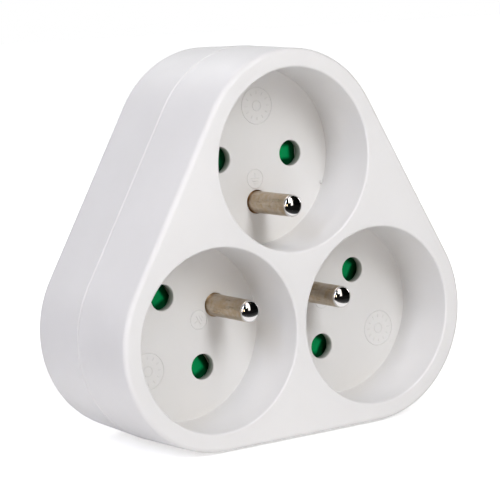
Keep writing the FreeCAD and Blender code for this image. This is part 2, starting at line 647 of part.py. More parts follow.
def make_neutral_busbar():
    """Stepped star that joins the plug's neutral pin to the other contacts."""
    pin_x = -NEUTRAL_SIDE * PIN_SPACING / 2
    y_range = (Y_NEUTRAL_HUB, Y_NEUTRAL_HUB + BAR_THICKNESS)
    hub = round_bar(NEUTRAL_HUB_R, *y_range)
    pad = round_bar(PIN_PAD_R, *y_range, pin_x, 0)
    arms = [turned(stepped_arm(), turn) for turn in contact_turns(NEUTRAL_SIDE)]
    bar = hub.fuse([pad] + arms).removeSplitter()
    cuts = bar_holes(NEUTRAL_SIDE)
    cuts.append(round_bar(STAKE_R, *y_range))
    cuts.append(round_bar(PLUG_TIP_TAIL_R, *y_range, pin_x, 0))
    return bar.cut(cuts)


def make_contact():
    """Spring contact drawn straight above the axis: a riveted base and two pinched leaves."""
    half = CONTACT_HALF_WIDTH
    y_base = (Y_BAR_BACK, Y_BAR_BACK + CONTACT_SHEET)
    base = block((-half, half), y_base, (CONTACT_AT - CONTACT_BASE_INNER, CONTACT_AT + half))
    line = [
        (half - CONTACT_SHEET, Y_BAR_BACK),
        (half - CONTACT_SHEET, Y_BAR_BACK + CONTACT_STRAIGHT),
        (CONTACT_PINCH, Y_CONTACT_END - CONTACT_FLARE_LENGTH),
        (CONTACT_FLARE, Y_CONTACT_END),
    ]
    outline = sheet_outline(line, -CONTACT_SHEET)
    z_start = CONTACT_AT - CONTACT_LEAF_HALF_DEPTH
    leaf = prism([Vector(x, y, z_start) for x, y in outline], Vector(0, 0, 2 * CONTACT_LEAF_HALF_DEPTH))
    other = leaf.mirror(ORIGIN, Vector(1, 0, 0))
    pin_hole = round_bar(PIN_R + SHANK_CLEARANCE, *y_base, 0, CONTACT_AT)
    rivet_hole = round_bar(RIVET_R, *y_base, 0, CONTACT_AT - RIVET_INSET)
    return base.fuse([leaf, other]).cut([pin_hole, rivet_hole])


def make_contact_rivets():
    """Rivets that hold the spring contacts to their busbars."""
    y_head = Y_BAR_BACK + CONTACT_SHEET
    shank = round_bar(RIVET_R, Y_BAR, y_head, 0, CONTACT_AT - RIVET_INSET)
    head = round_bar(RIVET_HEAD_R, y_head, y_head + RIVET_HEAD, 0, CONTACT_AT - RIVET_INSET)
    rivet = shank.fuse(head)
    turns = contact_turns(LIVE_SIDE) + contact_turns(NEUTRAL_SIDE)
    return Part.makeCompound([turned(rivet, turn) for turn in turns])


def make_plug_pin(side, y_bar):
    """Plug pin with a tapered tip, a root and collar in the end wall and a tail to its busbar.

    An arm of each busbar passes the pin across the axis from its pole's top contact.
    """
    x = -side * PIN_SPACING / 2
    y_end = PLUG_DEPTH + MATING_PIN_LENGTH
    root = round_bar(PIN_ROOT_R, Y_PLUG_WALL, PLUG_DEPTH, x, 0)
    shank = round_bar(PIN_R, PLUG_DEPTH, y_end - PLUG_PIN_TIP, x, 0)
    tip = cone_bar(PIN_R, PLUG_PIN_TIP_R, y_end - PLUG_PIN_TIP, y_end, x, 0)
    collar = round_bar(PLUG_COLLAR_R, Y_RETAINER_BACK, Y_PLUG_WALL, x, 0)
    tail = round_bar(PLUG_TAIL_R, y_bar + BAR_THICKNESS, Y_RETAINER_BACK, x, 0)
    tail_end = round_bar(PLUG_TIP_TAIL_R, y_bar, y_bar + BAR_THICKNESS, x, 0)
    return shank.fuse([tip, root, collar, tail, tail_end]).removeSplitter()


def make_plug_earth_contact():
    """Slotted sleeve behind the plug's earth hole."""
    outer_r = EARTH_SLEEVE_R + EARTH_SLEEVE_WALL
    y_start = Y_STRAP - EARTH_SLEEVE_REACH
    tube = round_bar(outer_r, y_start, Y_PLUG_WALL, 0, EARTH_OFFSET)
    bore = round_bar(EARTH_SLEEVE_R, y_start, Y_PLUG_WALL, 0, EARTH_OFFSET)
    half = EARTH_SLEEVE_SLOT / 2
    slot_y = (y_start, y_start + EARTH_SLEEVE_SLOT_LENGTH)
    slot = block((-half, half), slot_y, (EARTH_OFFSET - outer_r, EARTH_OFFSET + outer_r))
    return tube.cut([bore, slot])


def make_plug_earth_strips():
    """Strap across the plug with a bowed spring leg in each side groove."""
    half = STRIP_WIDTH / 2
    z_outer = STRIP_SEAT + STRIP_THICKNESS
    strap_end = Y_STRAP + STRIP_THICKNESS
    strap = block((-half, half), (Y_STRAP, strap_end), (-z_outer, z_outer))
    middle = (strap_end + Y_STRIP_END) / 2
    line = [
        (STRIP_SEAT, Y_STRAP),
        (STRIP_SEAT, strap_end + STRIP_THICKNESS),
        (STRIP_SEAT + STRIP_BULGE, middle),
        (STRIP_SEAT, Y_STRIP_END),
    ]
    outline = sheet_outline(line, -STRIP_THICKNESS)
    leg = prism([Vector(-half, y, z) for z, y in outline], Vector(STRIP_WIDTH, 0, 0))
    lower_leg = leg.mirror(ORIGIN, Vector(0, 0, 1))
    sleeve_r = EARTH_SLEEVE_R + EARTH_SLEEVE_WALL
    eye = round_bar(sleeve_r + STRIP_EYE_WALL, Y_STRAP, strap_end, 0, EARTH_OFFSET)
    sleeve_hole = round_bar(sleeve_r, Y_STRAP, strap_end, 0, EARTH_OFFSET)
    return strap.fuse([leg, lower_leg, eye]).removeSplitter().cut(sleeve_hole)


def make_earth_link():
    """Strip from the plug's earth strap to the earth busbar."""
    half = LINK_WIDTH / 2
    return block((-half, half), (Y_EARTH_BAR, Y_STRAP), LINK_Z)


def make_pin_retainer():
    """Plate that clamps the collars of the plug pins against the end wall."""
    plate = round_bar(PLUG_CAVITY_R - RETAINER_GAP, Y_RETAINER, Y_RETAINER_BACK)
    cuts = []
    y_range = (Y_RETAINER, Y_RETAINER_BACK)
    for side in (LIVE_SIDE, NEUTRAL_SIDE):
        screw_x = side * RETAINER_SCREW_X
        cuts.append(round_bar(PLUG_TAIL_R + SHANK_CLEARANCE, *y_range, side * PIN_SPACING / 2, 0))
        cuts.append(round_bar(SMALL_SCREW_R + SHANK_CLEARANCE, *y_range, screw_x, RETAINER_SCREW_Z))
    sleeve_r = EARTH_SLEEVE_R + EARTH_SLEEVE_WALL + PIN_HOLE_CLEARANCE
    cuts.append(round_bar(sleeve_r, *y_range, 0, EARTH_OFFSET))
    return plate.cut(cuts)


def make_retainer_screws():
    length = RETAINER_WALL + RETAINER_SCREW_GRIP
    screws = []
    for side in (LIVE_SIDE, NEUTRAL_SIDE):
        place = (side * RETAINER_SCREW_X, RETAINER_SCREW_Z)
        screws.append(drilled_screw(
            SMALL_SCREW_R, length, SMALL_SCREW_HEAD_R, SMALL_SCREW_HEAD, Y_RETAINER, 1, *place))
    return Part.makeCompound(screws)


def make_carrier_screws():
    length = CARRIER_WALL + CARRIER_SCREW_GRIP
    screw = drilled_screw(
        SMALL_SCREW_R, length, SMALL_SCREW_HEAD_R, SMALL_SCREW_HEAD, Y_BAR, -1, 0, CARRIER_SCREW_AT)
    return Part.makeCompound(at_each_web(screw))


def make_housing_screws():
    length = -Y_SEAM - HOUSING_SCREW_SINK + HOUSING_SCREW_GRIP
    screw = drilled_screw(
        HOUSING_SCREW_R, length, HOUSING_SCREW_HEAD_R, HOUSING_SCREW_HEAD,
        -HOUSING_SCREW_SINK, -1, 0, HOUSING_SCREW_AT)
    return Part.makeCompound(at_each_web(screw))


def all_parts():
    """Every piece of the adapter, by name."""
    parts = {
        "front_housing": make_front_housing(),
        "rear_housing": make_rear_housing(),
        "contact_carrier": make_contact_carrier(),
        "live_busbar": make_live_busbar(),
        "neutral_busbar": make_neutral_busbar(),
        "earth_busbar": make_earth_busbar(),
        "contact_rivets": make_contact_rivets(),
        "plug_pin_live": make_plug_pin(LIVE_SIDE, Y_BAR),
        "plug_pin_neutral": make_plug_pin(NEUTRAL_SIDE, Y_NEUTRAL_HUB),
        "plug_earth_contact": make_plug_earth_contact(),
        "plug_earth_strips": make_plug_earth_strips(),
        "earth_link": make_earth_link(),
        "pin_retainer": make_pin_retainer(),
        "retainer_screws": make_retainer_screws(),
        "carrier_screws": make_carrier_screws(),
        "housing_screws": make_housing_screws(),
    }
    contact = make_contact()
    for index in range(SOCKETS):
        number = index + 1
        parts[f"live_contact_{number}"] = turned(contact, contact_turns(LIVE_SIDE)[index])
        parts[f"neutral_contact_{number}"] = turned(contact, contact_turns(NEUTRAL_SIDE)[index])
        parts[f"earth_pin_{number}"] = at_socket(make_earth_pin(), index)
        parts[f"shutter_{number}"] = at_socket(make_shutter(), index)
        parts[f"shutter_spring_{number}"] = at_socket(make_shutter_spring(), index)
    return parts


os.makedirs("parts", exist_ok=True)
for name, shape in all_parts().items():
    shape.exportStep(f"parts/{name}.step")
    print(name, len(shape.Solids), round(shape.Volume, 2), shape.isValid())
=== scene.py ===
import json
import math

import bmesh
import bpy
import numpy as np
from bpy.props import FloatProperty, FloatVectorProperty, PointerProperty
from mathutils import Matrix, Vector


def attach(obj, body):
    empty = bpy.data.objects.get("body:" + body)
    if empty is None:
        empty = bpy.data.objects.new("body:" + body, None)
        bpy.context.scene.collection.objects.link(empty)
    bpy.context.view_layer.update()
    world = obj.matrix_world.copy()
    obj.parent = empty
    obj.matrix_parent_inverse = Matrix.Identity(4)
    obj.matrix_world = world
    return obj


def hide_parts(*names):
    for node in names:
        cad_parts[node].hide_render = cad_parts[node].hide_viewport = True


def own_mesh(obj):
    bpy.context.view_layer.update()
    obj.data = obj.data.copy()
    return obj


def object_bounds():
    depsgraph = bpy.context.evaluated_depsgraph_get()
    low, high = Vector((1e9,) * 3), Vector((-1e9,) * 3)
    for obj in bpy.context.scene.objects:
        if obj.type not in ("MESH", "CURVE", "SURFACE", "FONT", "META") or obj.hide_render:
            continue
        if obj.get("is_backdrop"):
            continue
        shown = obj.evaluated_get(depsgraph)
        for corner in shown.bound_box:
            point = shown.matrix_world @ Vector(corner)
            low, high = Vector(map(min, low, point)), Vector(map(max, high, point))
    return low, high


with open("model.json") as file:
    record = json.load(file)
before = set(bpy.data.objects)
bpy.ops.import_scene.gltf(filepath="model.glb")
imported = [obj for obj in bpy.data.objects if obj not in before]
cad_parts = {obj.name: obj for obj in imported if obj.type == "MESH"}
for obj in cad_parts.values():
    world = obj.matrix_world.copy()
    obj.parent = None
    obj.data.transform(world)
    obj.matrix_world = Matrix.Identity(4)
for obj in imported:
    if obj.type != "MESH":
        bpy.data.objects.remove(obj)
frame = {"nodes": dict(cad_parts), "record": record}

bl_info = {
    "name": "Three-way Socket Adapter",
    "version": (1, 0, 0),
    "blender": (4, 5, 0),
    "location": "3D View > Sidebar > Adapter",
    "description": "Surfaces, finishes and studio for a rounded triangular socket adapter",
    "category": "Object",
}

# Shapes are worked out in millimetres and written to the meshes in metres.
# X is to the right seen from the front, Y points into the wall and Z is up.
MM = 0.001
SOCKETS = (1, 2, 3)
# Each corner of the body is round for this many degrees to either side of its middle.
HALF_CORNER = 60.0
TINY = 1e-6
# Levels along Y: tops of the green pads, axis of the return springs, end and pin tips of the plug.
PAD_TOP = -18.75
SPRING_AXIS = -17.125
PLUG_FACE = 15.0
PLUG_PIN_TIP = 34.0
# From the middle of a socket outwards to the seat of its return spring.
SPRING_SEAT = 18.5
# Middle of the dial on each socket's floor, as (across, outward) from the socket's middle.
DIALS = {1: (1.0, 11.1), 2: (-1.6, 11.6), 3: (-0.5, 13.3)}
WHITE = (1.0, 1.0, 1.0, 1.0)


# Curves and grids


def directions(degrees):
    """Unit vectors for an array of angles: the cosine along X and the sine along Z."""
    angle = np.radians(degrees)
    return np.stack([np.cos(angle), np.sin(angle)], axis=-1)


def bearings(degrees):
    """Unit vectors (across, outward) for angles turned from a socket's outward direction."""
    return directions(degrees)[..., ::-1]


def full_turn(step):
    """Angles of a full turn in equal steps, in degrees."""
    return np.arange(0.0, 360.0, step)


def outward(index):
    """Angle of a socket's direction from the plug's axis, in degrees."""
    return 90.0 + 120.0 * (index - 1)


def side_frame(sign):
    """Outward vector of a straight side and the vector along it, as (across, outward).

    The sign says on which side of the corner it lies. Both are turned by half the corner.
    """
    (sine, cosine), = bearings([HALF_CORNER])
    normal = np.stack([sign * sine, np.full_like(sign, cosine)], axis=-1)
    tangent = np.stack([sign * cosine, np.full_like(sign, -sine)], axis=-1)
    return normal, tangent


def rounded(corners, steps=6, rest=0.05):
    """Profile through corners given as (distance, y, radius), with each corner rounded.

    An arc touches both sides at its radius times the tangent of half the turn. Its points
    are the first one turned about the arc's centre in equal steps. A short straight stretch
    is kept at each end of an arc, so that the flats beside it shade flat.
    """
    line = [np.array([corners[0][:2]], float)]
    for before, corner, after in zip(corners, corners[1:], corners[2:]):
        place, radius = np.array(corner[:2], float), corner[2]
        come = place - np.array(before[:2], float)
        go = np.array(after[:2], float) - place
        come, go = come / np.linalg.norm(come), go / np.linalg.norm(go)
        turn = math.atan2(come[0] * go[1] - come[1] * go[0], come @ go)
        if radius == 0:
            line.append(place[None])
            continue
        reach = radius * math.tan(abs(turn) / 2)
        start = place - come * reach
        centre = start + math.copysign(radius, turn) * np.array([-come[1], come[0]])
        part = np.linspace(0.0, turn, steps + 1)
        spoke = start - centre
        arc_x = centre[0] + np.cos(part) * spoke[0] - np.sin(part) * spoke[1]
        arc_y = centre[1] + np.sin(part) * spoke[0] + np.cos(part) * spoke[1]
        line.append((start - come * rest)[None])
        line.append(np.stack([arc_x, arc_y], axis=-1))
        line.append((place + go * (reach + rest))[None])
    line.append(np.array([corners[-1][:2]], float))
    return np.concatenate(line)


def raised(flat, level):
    """Grid from flat places (x, z) and their levels along Y."""
    level = np.broadcast_to(level, flat.shape[:2])
    return np.stack([flat[..., 0], level, flat[..., 1]], axis=-1)


def lathe(profile, degrees, x=0.0, z=0.0):
    """Grid of a profile (radius, y) turned about a line along Y.

    Each point is the line's place plus the radius times the unit vector of its angle.
    """
    flat = np.array([x, z]) + profile[:, :1, None] * directions(degrees)[None]
    return raised(flat, profile[:, 1:2])


def carried(profile, path):
    """Grid of a profile (corner radius, y) carried along a path round the body.

    Each point is the path's centre there plus the corner radius times its outward vector.
    """
    centres, normals = path
    flat = centres[None] + profile[:, :1, None] * normals[None]
    return raised(flat, profile[:, 1:2])


def ruled(inner, outer, y, shares=(0.0, 1.0)):
    """Flat grid at the level y between two outlines with equally many points.

    Each point is the weighted mean of the two outline points, with shares as its weights.
    """
    weight = np.asarray(shares, float)[:, None, None]
    return raised(inner[None] * (1 - weight) + outer[None] * weight, y)


def fanned(ring):
    """Grid that closes a ring at the point halfway between its first and opposite points."""
    middle = (ring[0] + ring[len(ring) // 2]) / 2
    return np.stack([np.broadcast_to(middle, ring.shape), ring])


def turned(patches, index):
    """Patches of the top socket turned about the plug's axis to another socket.

    A third of a turn goes with each number, anticlockwise seen from the front.
    """
    (cosine, sine), = directions([120.0 * (index - 1)])
    turn = np.array([[cosine, 0.0, sine], [0.0, 1.0, 0.0], [-sine, 0.0, cosine]])
    return [(grid @ turn, closed) for grid, closed in patches]


def quads(rows, columns, closed):
    """Corner numbers of the cells of a grid, which may close on itself along its rows."""
    row = np.arange(rows - 1)[:, None]
    column = np.arange(columns if closed else columns - 1)[None]
    after = (column + 1) % columns
    cells = [row * columns + column, row * columns + after]
    cells += [(row + 1) * columns + after, (row + 1) * columns + column]
    return np.stack(cells, axis=-1).reshape(-1, 4)


# Meshes


def new_piece(name, patches, material):
    """Object from grids, each given with whether it closes: joined, turned out, smoothed."""
    points, faces, count = [], [], 0
    for grid, closed in patches:
        rows, columns = grid.shape[:2]
        faces.append(quads(rows, columns, closed) + count)
        points.append(grid.reshape(-1, 3))
        count += rows * columns
    mesh = bpy.data.meshes.new(name)
    mesh.from_pydata((np.concatenate(points) * MM).tolist(), [], np.concatenate(faces).tolist())
    finish_mesh(mesh, sharp=32.0)
    return place_piece(name, mesh, material)


def finish_mesh(mesh, sharp, whole=False):
    """Joins the seams and shades smooth up to an angle in degrees.

    Faces are turned outwards, or, where whole is set, joined where they lie in one plane.
    """
    work = bmesh.new()
    work.from_mesh(mesh)
    bmesh.ops.remove_doubles(work, verts=work.verts, dist=0.002 * MM)
    if whole:
        flat = math.radians(0.3)
        bmesh.ops.dissolve_limit(work, angle_limit=flat, verts=work.verts, edges=work.edges)
    else:
        bmesh.ops.recalc_face_normals(work, faces=work.faces)
    work.to_mesh(mesh)
    work.free()
    mesh.shade_smooth()
    mesh.set_sharp_from_angle(angle=math.radians(sharp))


def place_piece(name, mesh, material):
    """Object of a mesh, at the origin and in one material."""
    piece = bpy.data.objects.new(name, mesh)
    bpy.context.scene.collection.objects.link(piece)
    mesh.materials.clear()
    mesh.materials.append(material)
    return piece


def smoothed_copy(node, name, material, edge):
    """Copy of a frame node with whole flat faces and eased edges, in the node's place."""
    sharp = 28.0
    mesh = frame["nodes"][node].data.copy()
    mesh.name = name
    finish_mesh(mesh, sharp, whole=True)
    piece = place_piece(name, mesh, material)
    bevel = piece.modifiers.new("Eased edges", "BEVEL")
    bevel.width = edge * MM
    bevel.segments = 2
    bevel.limit_method = "ANGLE"
    bevel.angle_limit = math.radians(sharp + 6)
    bevel.harden_normals = True
    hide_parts(node)
    return piece


# Materials


class Nodes:
    """Emptied node tree of a world or a material, with short ways to add and join nodes."""

    def __init__(self, owner):
        owner.use_nodes = True
        self.tree = owner.node_tree
        self.tree.nodes.clear()

    def fill(self, node, inputs):
        """Joins or sets inputs, each named by its label or by an underscore and its number."""
        for key, value in inputs.items():
            number = key[1:]
            socket = node.inputs[int(number) if number.isdigit() else key.replace("_", " ")]
            if isinstance(value, bpy.types.NodeSocket):
                self.tree.links.new(value, socket)
            else:
                socket.default_value = value

    def add(self, kind, settings=None, **inputs):
        """New node with its settings and inputs."""
        node = self.tree.nodes.new("ShaderNode" + kind)
        for key, value in (settings or {}).items():
            setattr(node, key, value)
        self.fill(node, inputs)
        return node

    def math(self, operation, *values):
        """Result of a sum on numbers or sockets."""
        inputs = {f"_{place}": value for place, value in enumerate(values)}
        return self.add("Math", {"operation": operation}, **inputs).outputs["Value"]


class Finish(Nodes):
    """Material with its shader and the object's own coordinates."""

    def __init__(self, name):
        self.material = bpy.data.materials.get(name) or bpy.data.materials.new(name)
        super().__init__(self.material)
        self.shader = self.add("BsdfPrincipled")
        self.add("OutputMaterial", Surface=self.shader.outputs["BSDF"])
        self.place = self.add("TexCoord").outputs["Object"]

    def along_y(self):
        """Level of a point along Y."""
        return self.add("SeparateXYZ", Vector=self.place).outputs["Y"]

    def spread(self, value, low, high, bottom=0.0, top=1.0):
        """Value between low and high, carried over to the range from bottom to top."""
        ends = {"From_Min": low, "From_Max": high, "To_Min": bottom, "To_Max": top}
        return self.add("MapRange", Value=value, **ends).outputs["Result"]

    def noise(self, scale, detail, roughness=0.5, stretch=(1.0, 1.0, 1.0)):
        """Cloud of a scale, drawn out where a factor of the stretch is under one."""
        place = self.place
        if stretch != (1.0, 1.0, 1.0):
            place = self.add("Mapping", Vector=place, Scale=stretch).outputs["Vector"]
        inputs = {"Scale": scale, "Detail": detail, "Roughness": roughness}
        return self.add("TexNoise", Vector=place, **inputs).outputs["Fac"]

    def ramp(self, value, stops):
        """Colour looked up by a value: each stop is a place and a grey level or a colour."""
        node = self.add("ValToRGB", Fac=value)
        elements = node.color_ramp.elements
        elements.remove(elements[-1])
        for index, (place, tone) in enumerate(stops):
            element = elements[0] if index == 0 else elements.new(place)
            element.position = place
            element.color = (tone, tone, tone, 1.0) if isinstance(tone, float) else (*tone, 1.0)
        return node.outputs["Color"]

    def times(self, factor, first, second):
        """First colour, multiplied by the second as far as the factor says."""
        mix = {"data_type": "RGBA", "blend_type": "MULTIPLY"}
        return self.add("Mix", mix, _0=factor, _6=first, _7=second).outputs[2]

    def bump(self, height, strength, distance=0.02):
        """Normal for a relief of a height, whose distance is in millimetres."""
        inputs = {"Height": height, "Strength": strength, "Distance": distance * MM}
        return self.add("Bump", **inputs).outputs["Normal"]

    def shade(self, **inputs):
        """Joins or sets the shader's inputs and gives the material."""
        self.fill(self.shader, inputs)
        return self.material


def moulded_plastic(name, tone, roughness, mottle=0.015):
    """Moulded plastic: a faint cloud in the colour, a finer one in the gloss, a satin grain.

    Painted shade darkens the colour with the depth in a contact hole, where the mesh has that
    attribute, with a faint green painted reflection of the pad behind.
    """
    finish = Finish(name)
    dark = tuple(part * (1 - mottle * 2) for part in tone)
    light = tuple(min(part * (1 + mottle), 1.0) for part in tone)
    tint = finish.ramp(finish.noise(45.0, 3.0), [(0.3, dark), (0.7, light)])
    depth = finish.add("Attribute", {"attribute_name": "hole_depth"}).outputs["Fac"]
    # Painted shade deep in the contact holes, slightly green as a painted reflection of the green
    # pad.
    painted_hole_shade = finish.ramp(depth, [(0.0, 1.0), (0.1, 0.8), (1.0, (0.2, 0.24, 0.2))])
    return finish.shade(
        Base_Color=finish.times(1.0, tint, painted_hole_shade),
        Roughness=finish.ramp(
            finish.noise(260.0, 2.0), [(0.3, roughness - 0.05), (0.7, roughness + 0.05)]
        ),
        Normal=finish.bump(finish.noise(2600.0, 2.0, 0.6), 0.35),
        Specular_IOR_Level=0.3,
    )


def green_plastic(name, tone):
    """Dyed plastic of the shutters, with painted light on the tops of the pads and painted shade on
    their slopes.

    The painted light and shade follow the level along Y near the tops, with a fine cloud in it.
    """
    finish = Finish(name)
    cloud = finish.noise(900.0, 3.0)
    # Painted light and shade: lighter at the pads' tops, darker down their slopes.
    height = finish.spread(finish.along_y(), (PAD_TOP + 0.35) * MM, (PAD_TOP + 0.03) * MM, top=0.9)
    dark = tuple(part * 0.22 for part in tone)
    painted_shade_mix = finish.math("MULTIPLY_ADD", cloud, 0.2, height)
    return finish.shade(
        Base_Color=finish.ramp(painted_shade_mix, [(0.1, dark), (0.95, tone)]),
        Roughness=finish.ramp(cloud, [(0.3, 0.42), (0.7, 0.5)]),
        Normal=finish.bump(cloud, 0.3, 0.03),
        Specular_IOR_Level=0.08,
    )


def worked_metal(name, tone, roughness, stretch=(1.0, 1.0, 1.0), scale=900.0):
    """Plated or rolled metal with streaks in its colour, gloss and relief."""
    finish = Finish(name)
    lines = finish.noise(scale, 4.0, stretch=stretch)
    dark = tuple(part * 0.86 for part in tone)
    return finish.shade(
        Base_Color=finish.ramp(lines, [(0.3, dark), (0.7, tone)]),
        Roughness=finish.ramp(lines, [(0.3, roughness + 0.08), (0.7, roughness - 0.06)]),
        Normal=finish.bump(lines, 0.25),
        Metallic=1.0,
    )


def pin_metal(name, tone, roughness, y_base, y_tip, tarnish):
    """Nickel pin: drawn shank, mottled and streaked, tarnished at its foot, with a polished tip.

    The changes follow the distance along the pin, from 0 at its foot to 1 at its tip, and
    those of the colour have a little noise in it.
    """
    finish = Finish(name)
    reach = finish.spread(finish.along_y(), y_base * MM, y_tip * MM)
    lines = finish.noise(3000.0, 3.0, stretch=(1.0, 0.06, 1.0))
    blotch = finish.noise(650.0, 4.0, 0.6)
    uneven = finish.math("MULTIPLY_ADD", blotch, 0.1, reach)
    foot = tuple(part * (1 - loss) for part, loss in zip(tone, tarnish))
    tip = (0.78, 0.765, 0.755)
    tint = finish.ramp(uneven, [(0.06, foot), (0.13, tone), (0.95, tone), (0.975, tip)])
    stain = finish.ramp(blotch, [(0.36, (0.86, 0.76, 0.62)), (0.66, 1.0)])
    streak = finish.ramp(lines, [(0.35, 0.88), (0.6, 1.0)])
    shank = finish.ramp(reach, [(0.9, 1.0), (0.93, 0.0)])
    rough = finish.ramp(
        reach, [(0.0, roughness + 0.1), (0.1, roughness), (0.925, roughness), (0.935, 0.05)]
    )
    return finish.shade(
        Base_Color=finish.times(shank, finish.times(shank, tint, stain), streak),
        Roughness=finish.math("MULTIPLY_ADD", lines, 0.04, rough),
        Normal=finish.bump(lines, finish.ramp(reach, [(0.92, 0.04), (0.935, 0.0)])),
        Anisotropic=finish.ramp(reach, [(0.92, 0.7), (0.935, 0.0)]),
        Tangent=finish.add("CombineXYZ", Y=1.0).outputs["Vector"],
        Metallic=1.0,
    )


# Sizes and colours that a user may change


def number_of(name, description, value, **rest):
    return FloatProperty(name=name, description=description, default=value, **rest)


def length_of(name, description, size):
    return number_of(name, description, size * MM, unit="LENGTH", precision=5)


def angle_of(name, description, degrees):
    return number_of(name, description, math.radians(degrees), unit="ROTATION")


def share_of(name, description, value):
    return number_of(name, description, value, min=0.0, max=1.0, subtype="FACTOR")


def watts_of(name, description, value):
    return number_of(name, description, value, min=0.0, unit="POWER")


def colour_of(name, description, value):
    rest = {"subtype": "COLOR", "min": 0.0, "max": 1.0}
    return FloatVectorProperty(name=name, description=description, default=value, **rest)


class AdapterBodySizes(bpy.types.PropertyGroup):
    """Sizes of the moulded body, which follow the frame's."""

    spacing: length_of("Socket spacing", "Distance between the middles of two sockets", 42.0)
    corner: length_of("Corner radius", "Radius of the body's corners at the seam", 24.3)
    depth: length_of("Body depth", "From the face to the rear face", 36.5)
    seam: length_of("Seam", "From the seam to the rear face", 18.3)
    draft: angle_of("Draft", "Slope of the sides away from the seam", 1.5)
    face_round: length_of("Face edge", "Radius of the edge round the face", 1.1)
    seam_bevel: length_of("Seam bevel", "Width of the bevel at the seam", 0.2)
    seam_gap: length_of("Seam gap", "Width of the gap between the shells at the seam", 0.2)
    wall: length_of("Wall", "Thickness of the side wall", 2.6)
    lip: length_of("Lip", "Height of the lip that enters the rear shell", 1.6)
    lip_wall: length_of("Lip wall", "Thickness of that lip", 1.1)
    recess: length_of("Recess depth", "From the face to the socket's floor", 15.0)
    mouth: length_of("Mouth radius", "Radius of the recess at the face", 19.7)
    floor: length_of("Floor radius", "Radius of the recess at its floor", 19.5)
    mouth_round: length_of("Mouth edge", "Radius of the edge of the mouth", 0.45)
    floor_round: length_of("Floor edge", "Radius where the wall meets the floor", 0.15)
    floor_wall: length_of("Floor thickness", "Thickness of the socket's floor", 2.0)


class AdapterContactSizes(bpy.types.PropertyGroup):
    """Sizes of the holes, pins and shutters in a socket."""

    hole: length_of("Contact hole", "Radius of a contact hole", 2.85)
    hole_round: length_of("Hole edge", "Radius of the edge of a contact hole", 0.2)
    half_spacing: length_of("Half spacing", "From the middle of the socket to a contact hole", 9.5)
    pin_offset: length_of("Pin offset", "From the line of the holes to the earth pin", 10.0)
    pin: length_of("Pin radius", "Radius of the earth pin and the plug's pins", 2.4)
    pin_root: length_of("Pin root", "Radius of a pin inside the plastic", 2.6)
    pin_length: length_of("Pin length", "From the floor to the pin's tip", 14.3)
    relief: length_of("Mark relief", "Height of the moulded marks on a floor", 0.13)


class AdapterFinishes(bpy.types.PropertyGroup):
    """Colours and gloss of the materials."""

    shell: colour_of("Shell", "White plastic of both shells", (0.78, 0.775, 0.765))
    shell_rough: share_of("Shell roughness", "Roughness of the white plastic", 0.48)
    inner: colour_of("Inner plastic", "Insulating plastic inside", (0.70, 0.68, 0.63))
    shutter: colour_of("Shutter", "Green plastic of the shutters", (0.0, 0.31, 0.09))
    nickel: colour_of("Nickel", "Plate of the pins", (0.55, 0.475, 0.385))
    brass: colour_of("Brass", "Busbars and contacts", (0.78, 0.57, 0.28))
    steel: colour_of("Steel", "Screws and springs", (0.62, 0.62, 0.63))


class AdapterStudio(bpy.types.PropertyGroup):
    """Camera and light."""

    distance: length_of("Distance", "From the face's middle to the camera, along the view", 423.2)
    shift_right: length_of("Right", "How far right of the view's middle the face lies", 10.76)
    shift_down: length_of("Down", "How far below the view's middle the face lies", 4.773)
    azimuth: angle_of("Azimuth", "Turn of the view about the upright axis", -34.756)
    elevation: angle_of("Elevation", "Height of the view", 7.724)
    roll: angle_of("Roll", "Turn of the view about its own axis", -2.438)
    lens: number_of("Lens", "Focal length on a 36 mm sensor", 141.82)
    world: share_of("World", "Brightness of the light from all round", 0.08)
    key: watts_of("Key", "Power of the soft box above the front", 3.34)
    low_key: watts_of("Low key", "Power of the soft box in front", 1.18)
    left: watts_of("Left", "Power of the soft box at the upper left", 2.4)
    low_left: watts_of("Low left", "Power of the soft box at the left", 1.0)
    rear_left: watts_of("Rear left", "Power of the soft box at the left and behind", 0.5)
    low_front: watts_of("Low front", "Power of the soft box low in front", 0.5)
    top: watts_of("Top", "Power of the soft box high in front", 0.74)
    right: watts_of("Right", "Power of the soft box at the right", 0.4)
    back: watts_of("Back", "Power of the soft box above the back", 2.0)


def millimetres(group):
    """Dictionary of a group's lengths in millimetres."""
    items = group.bl_rna.properties.items()
    return {key: getattr(group, key) / MM for key, item in items if item.type == "FLOAT"}


# Front shell


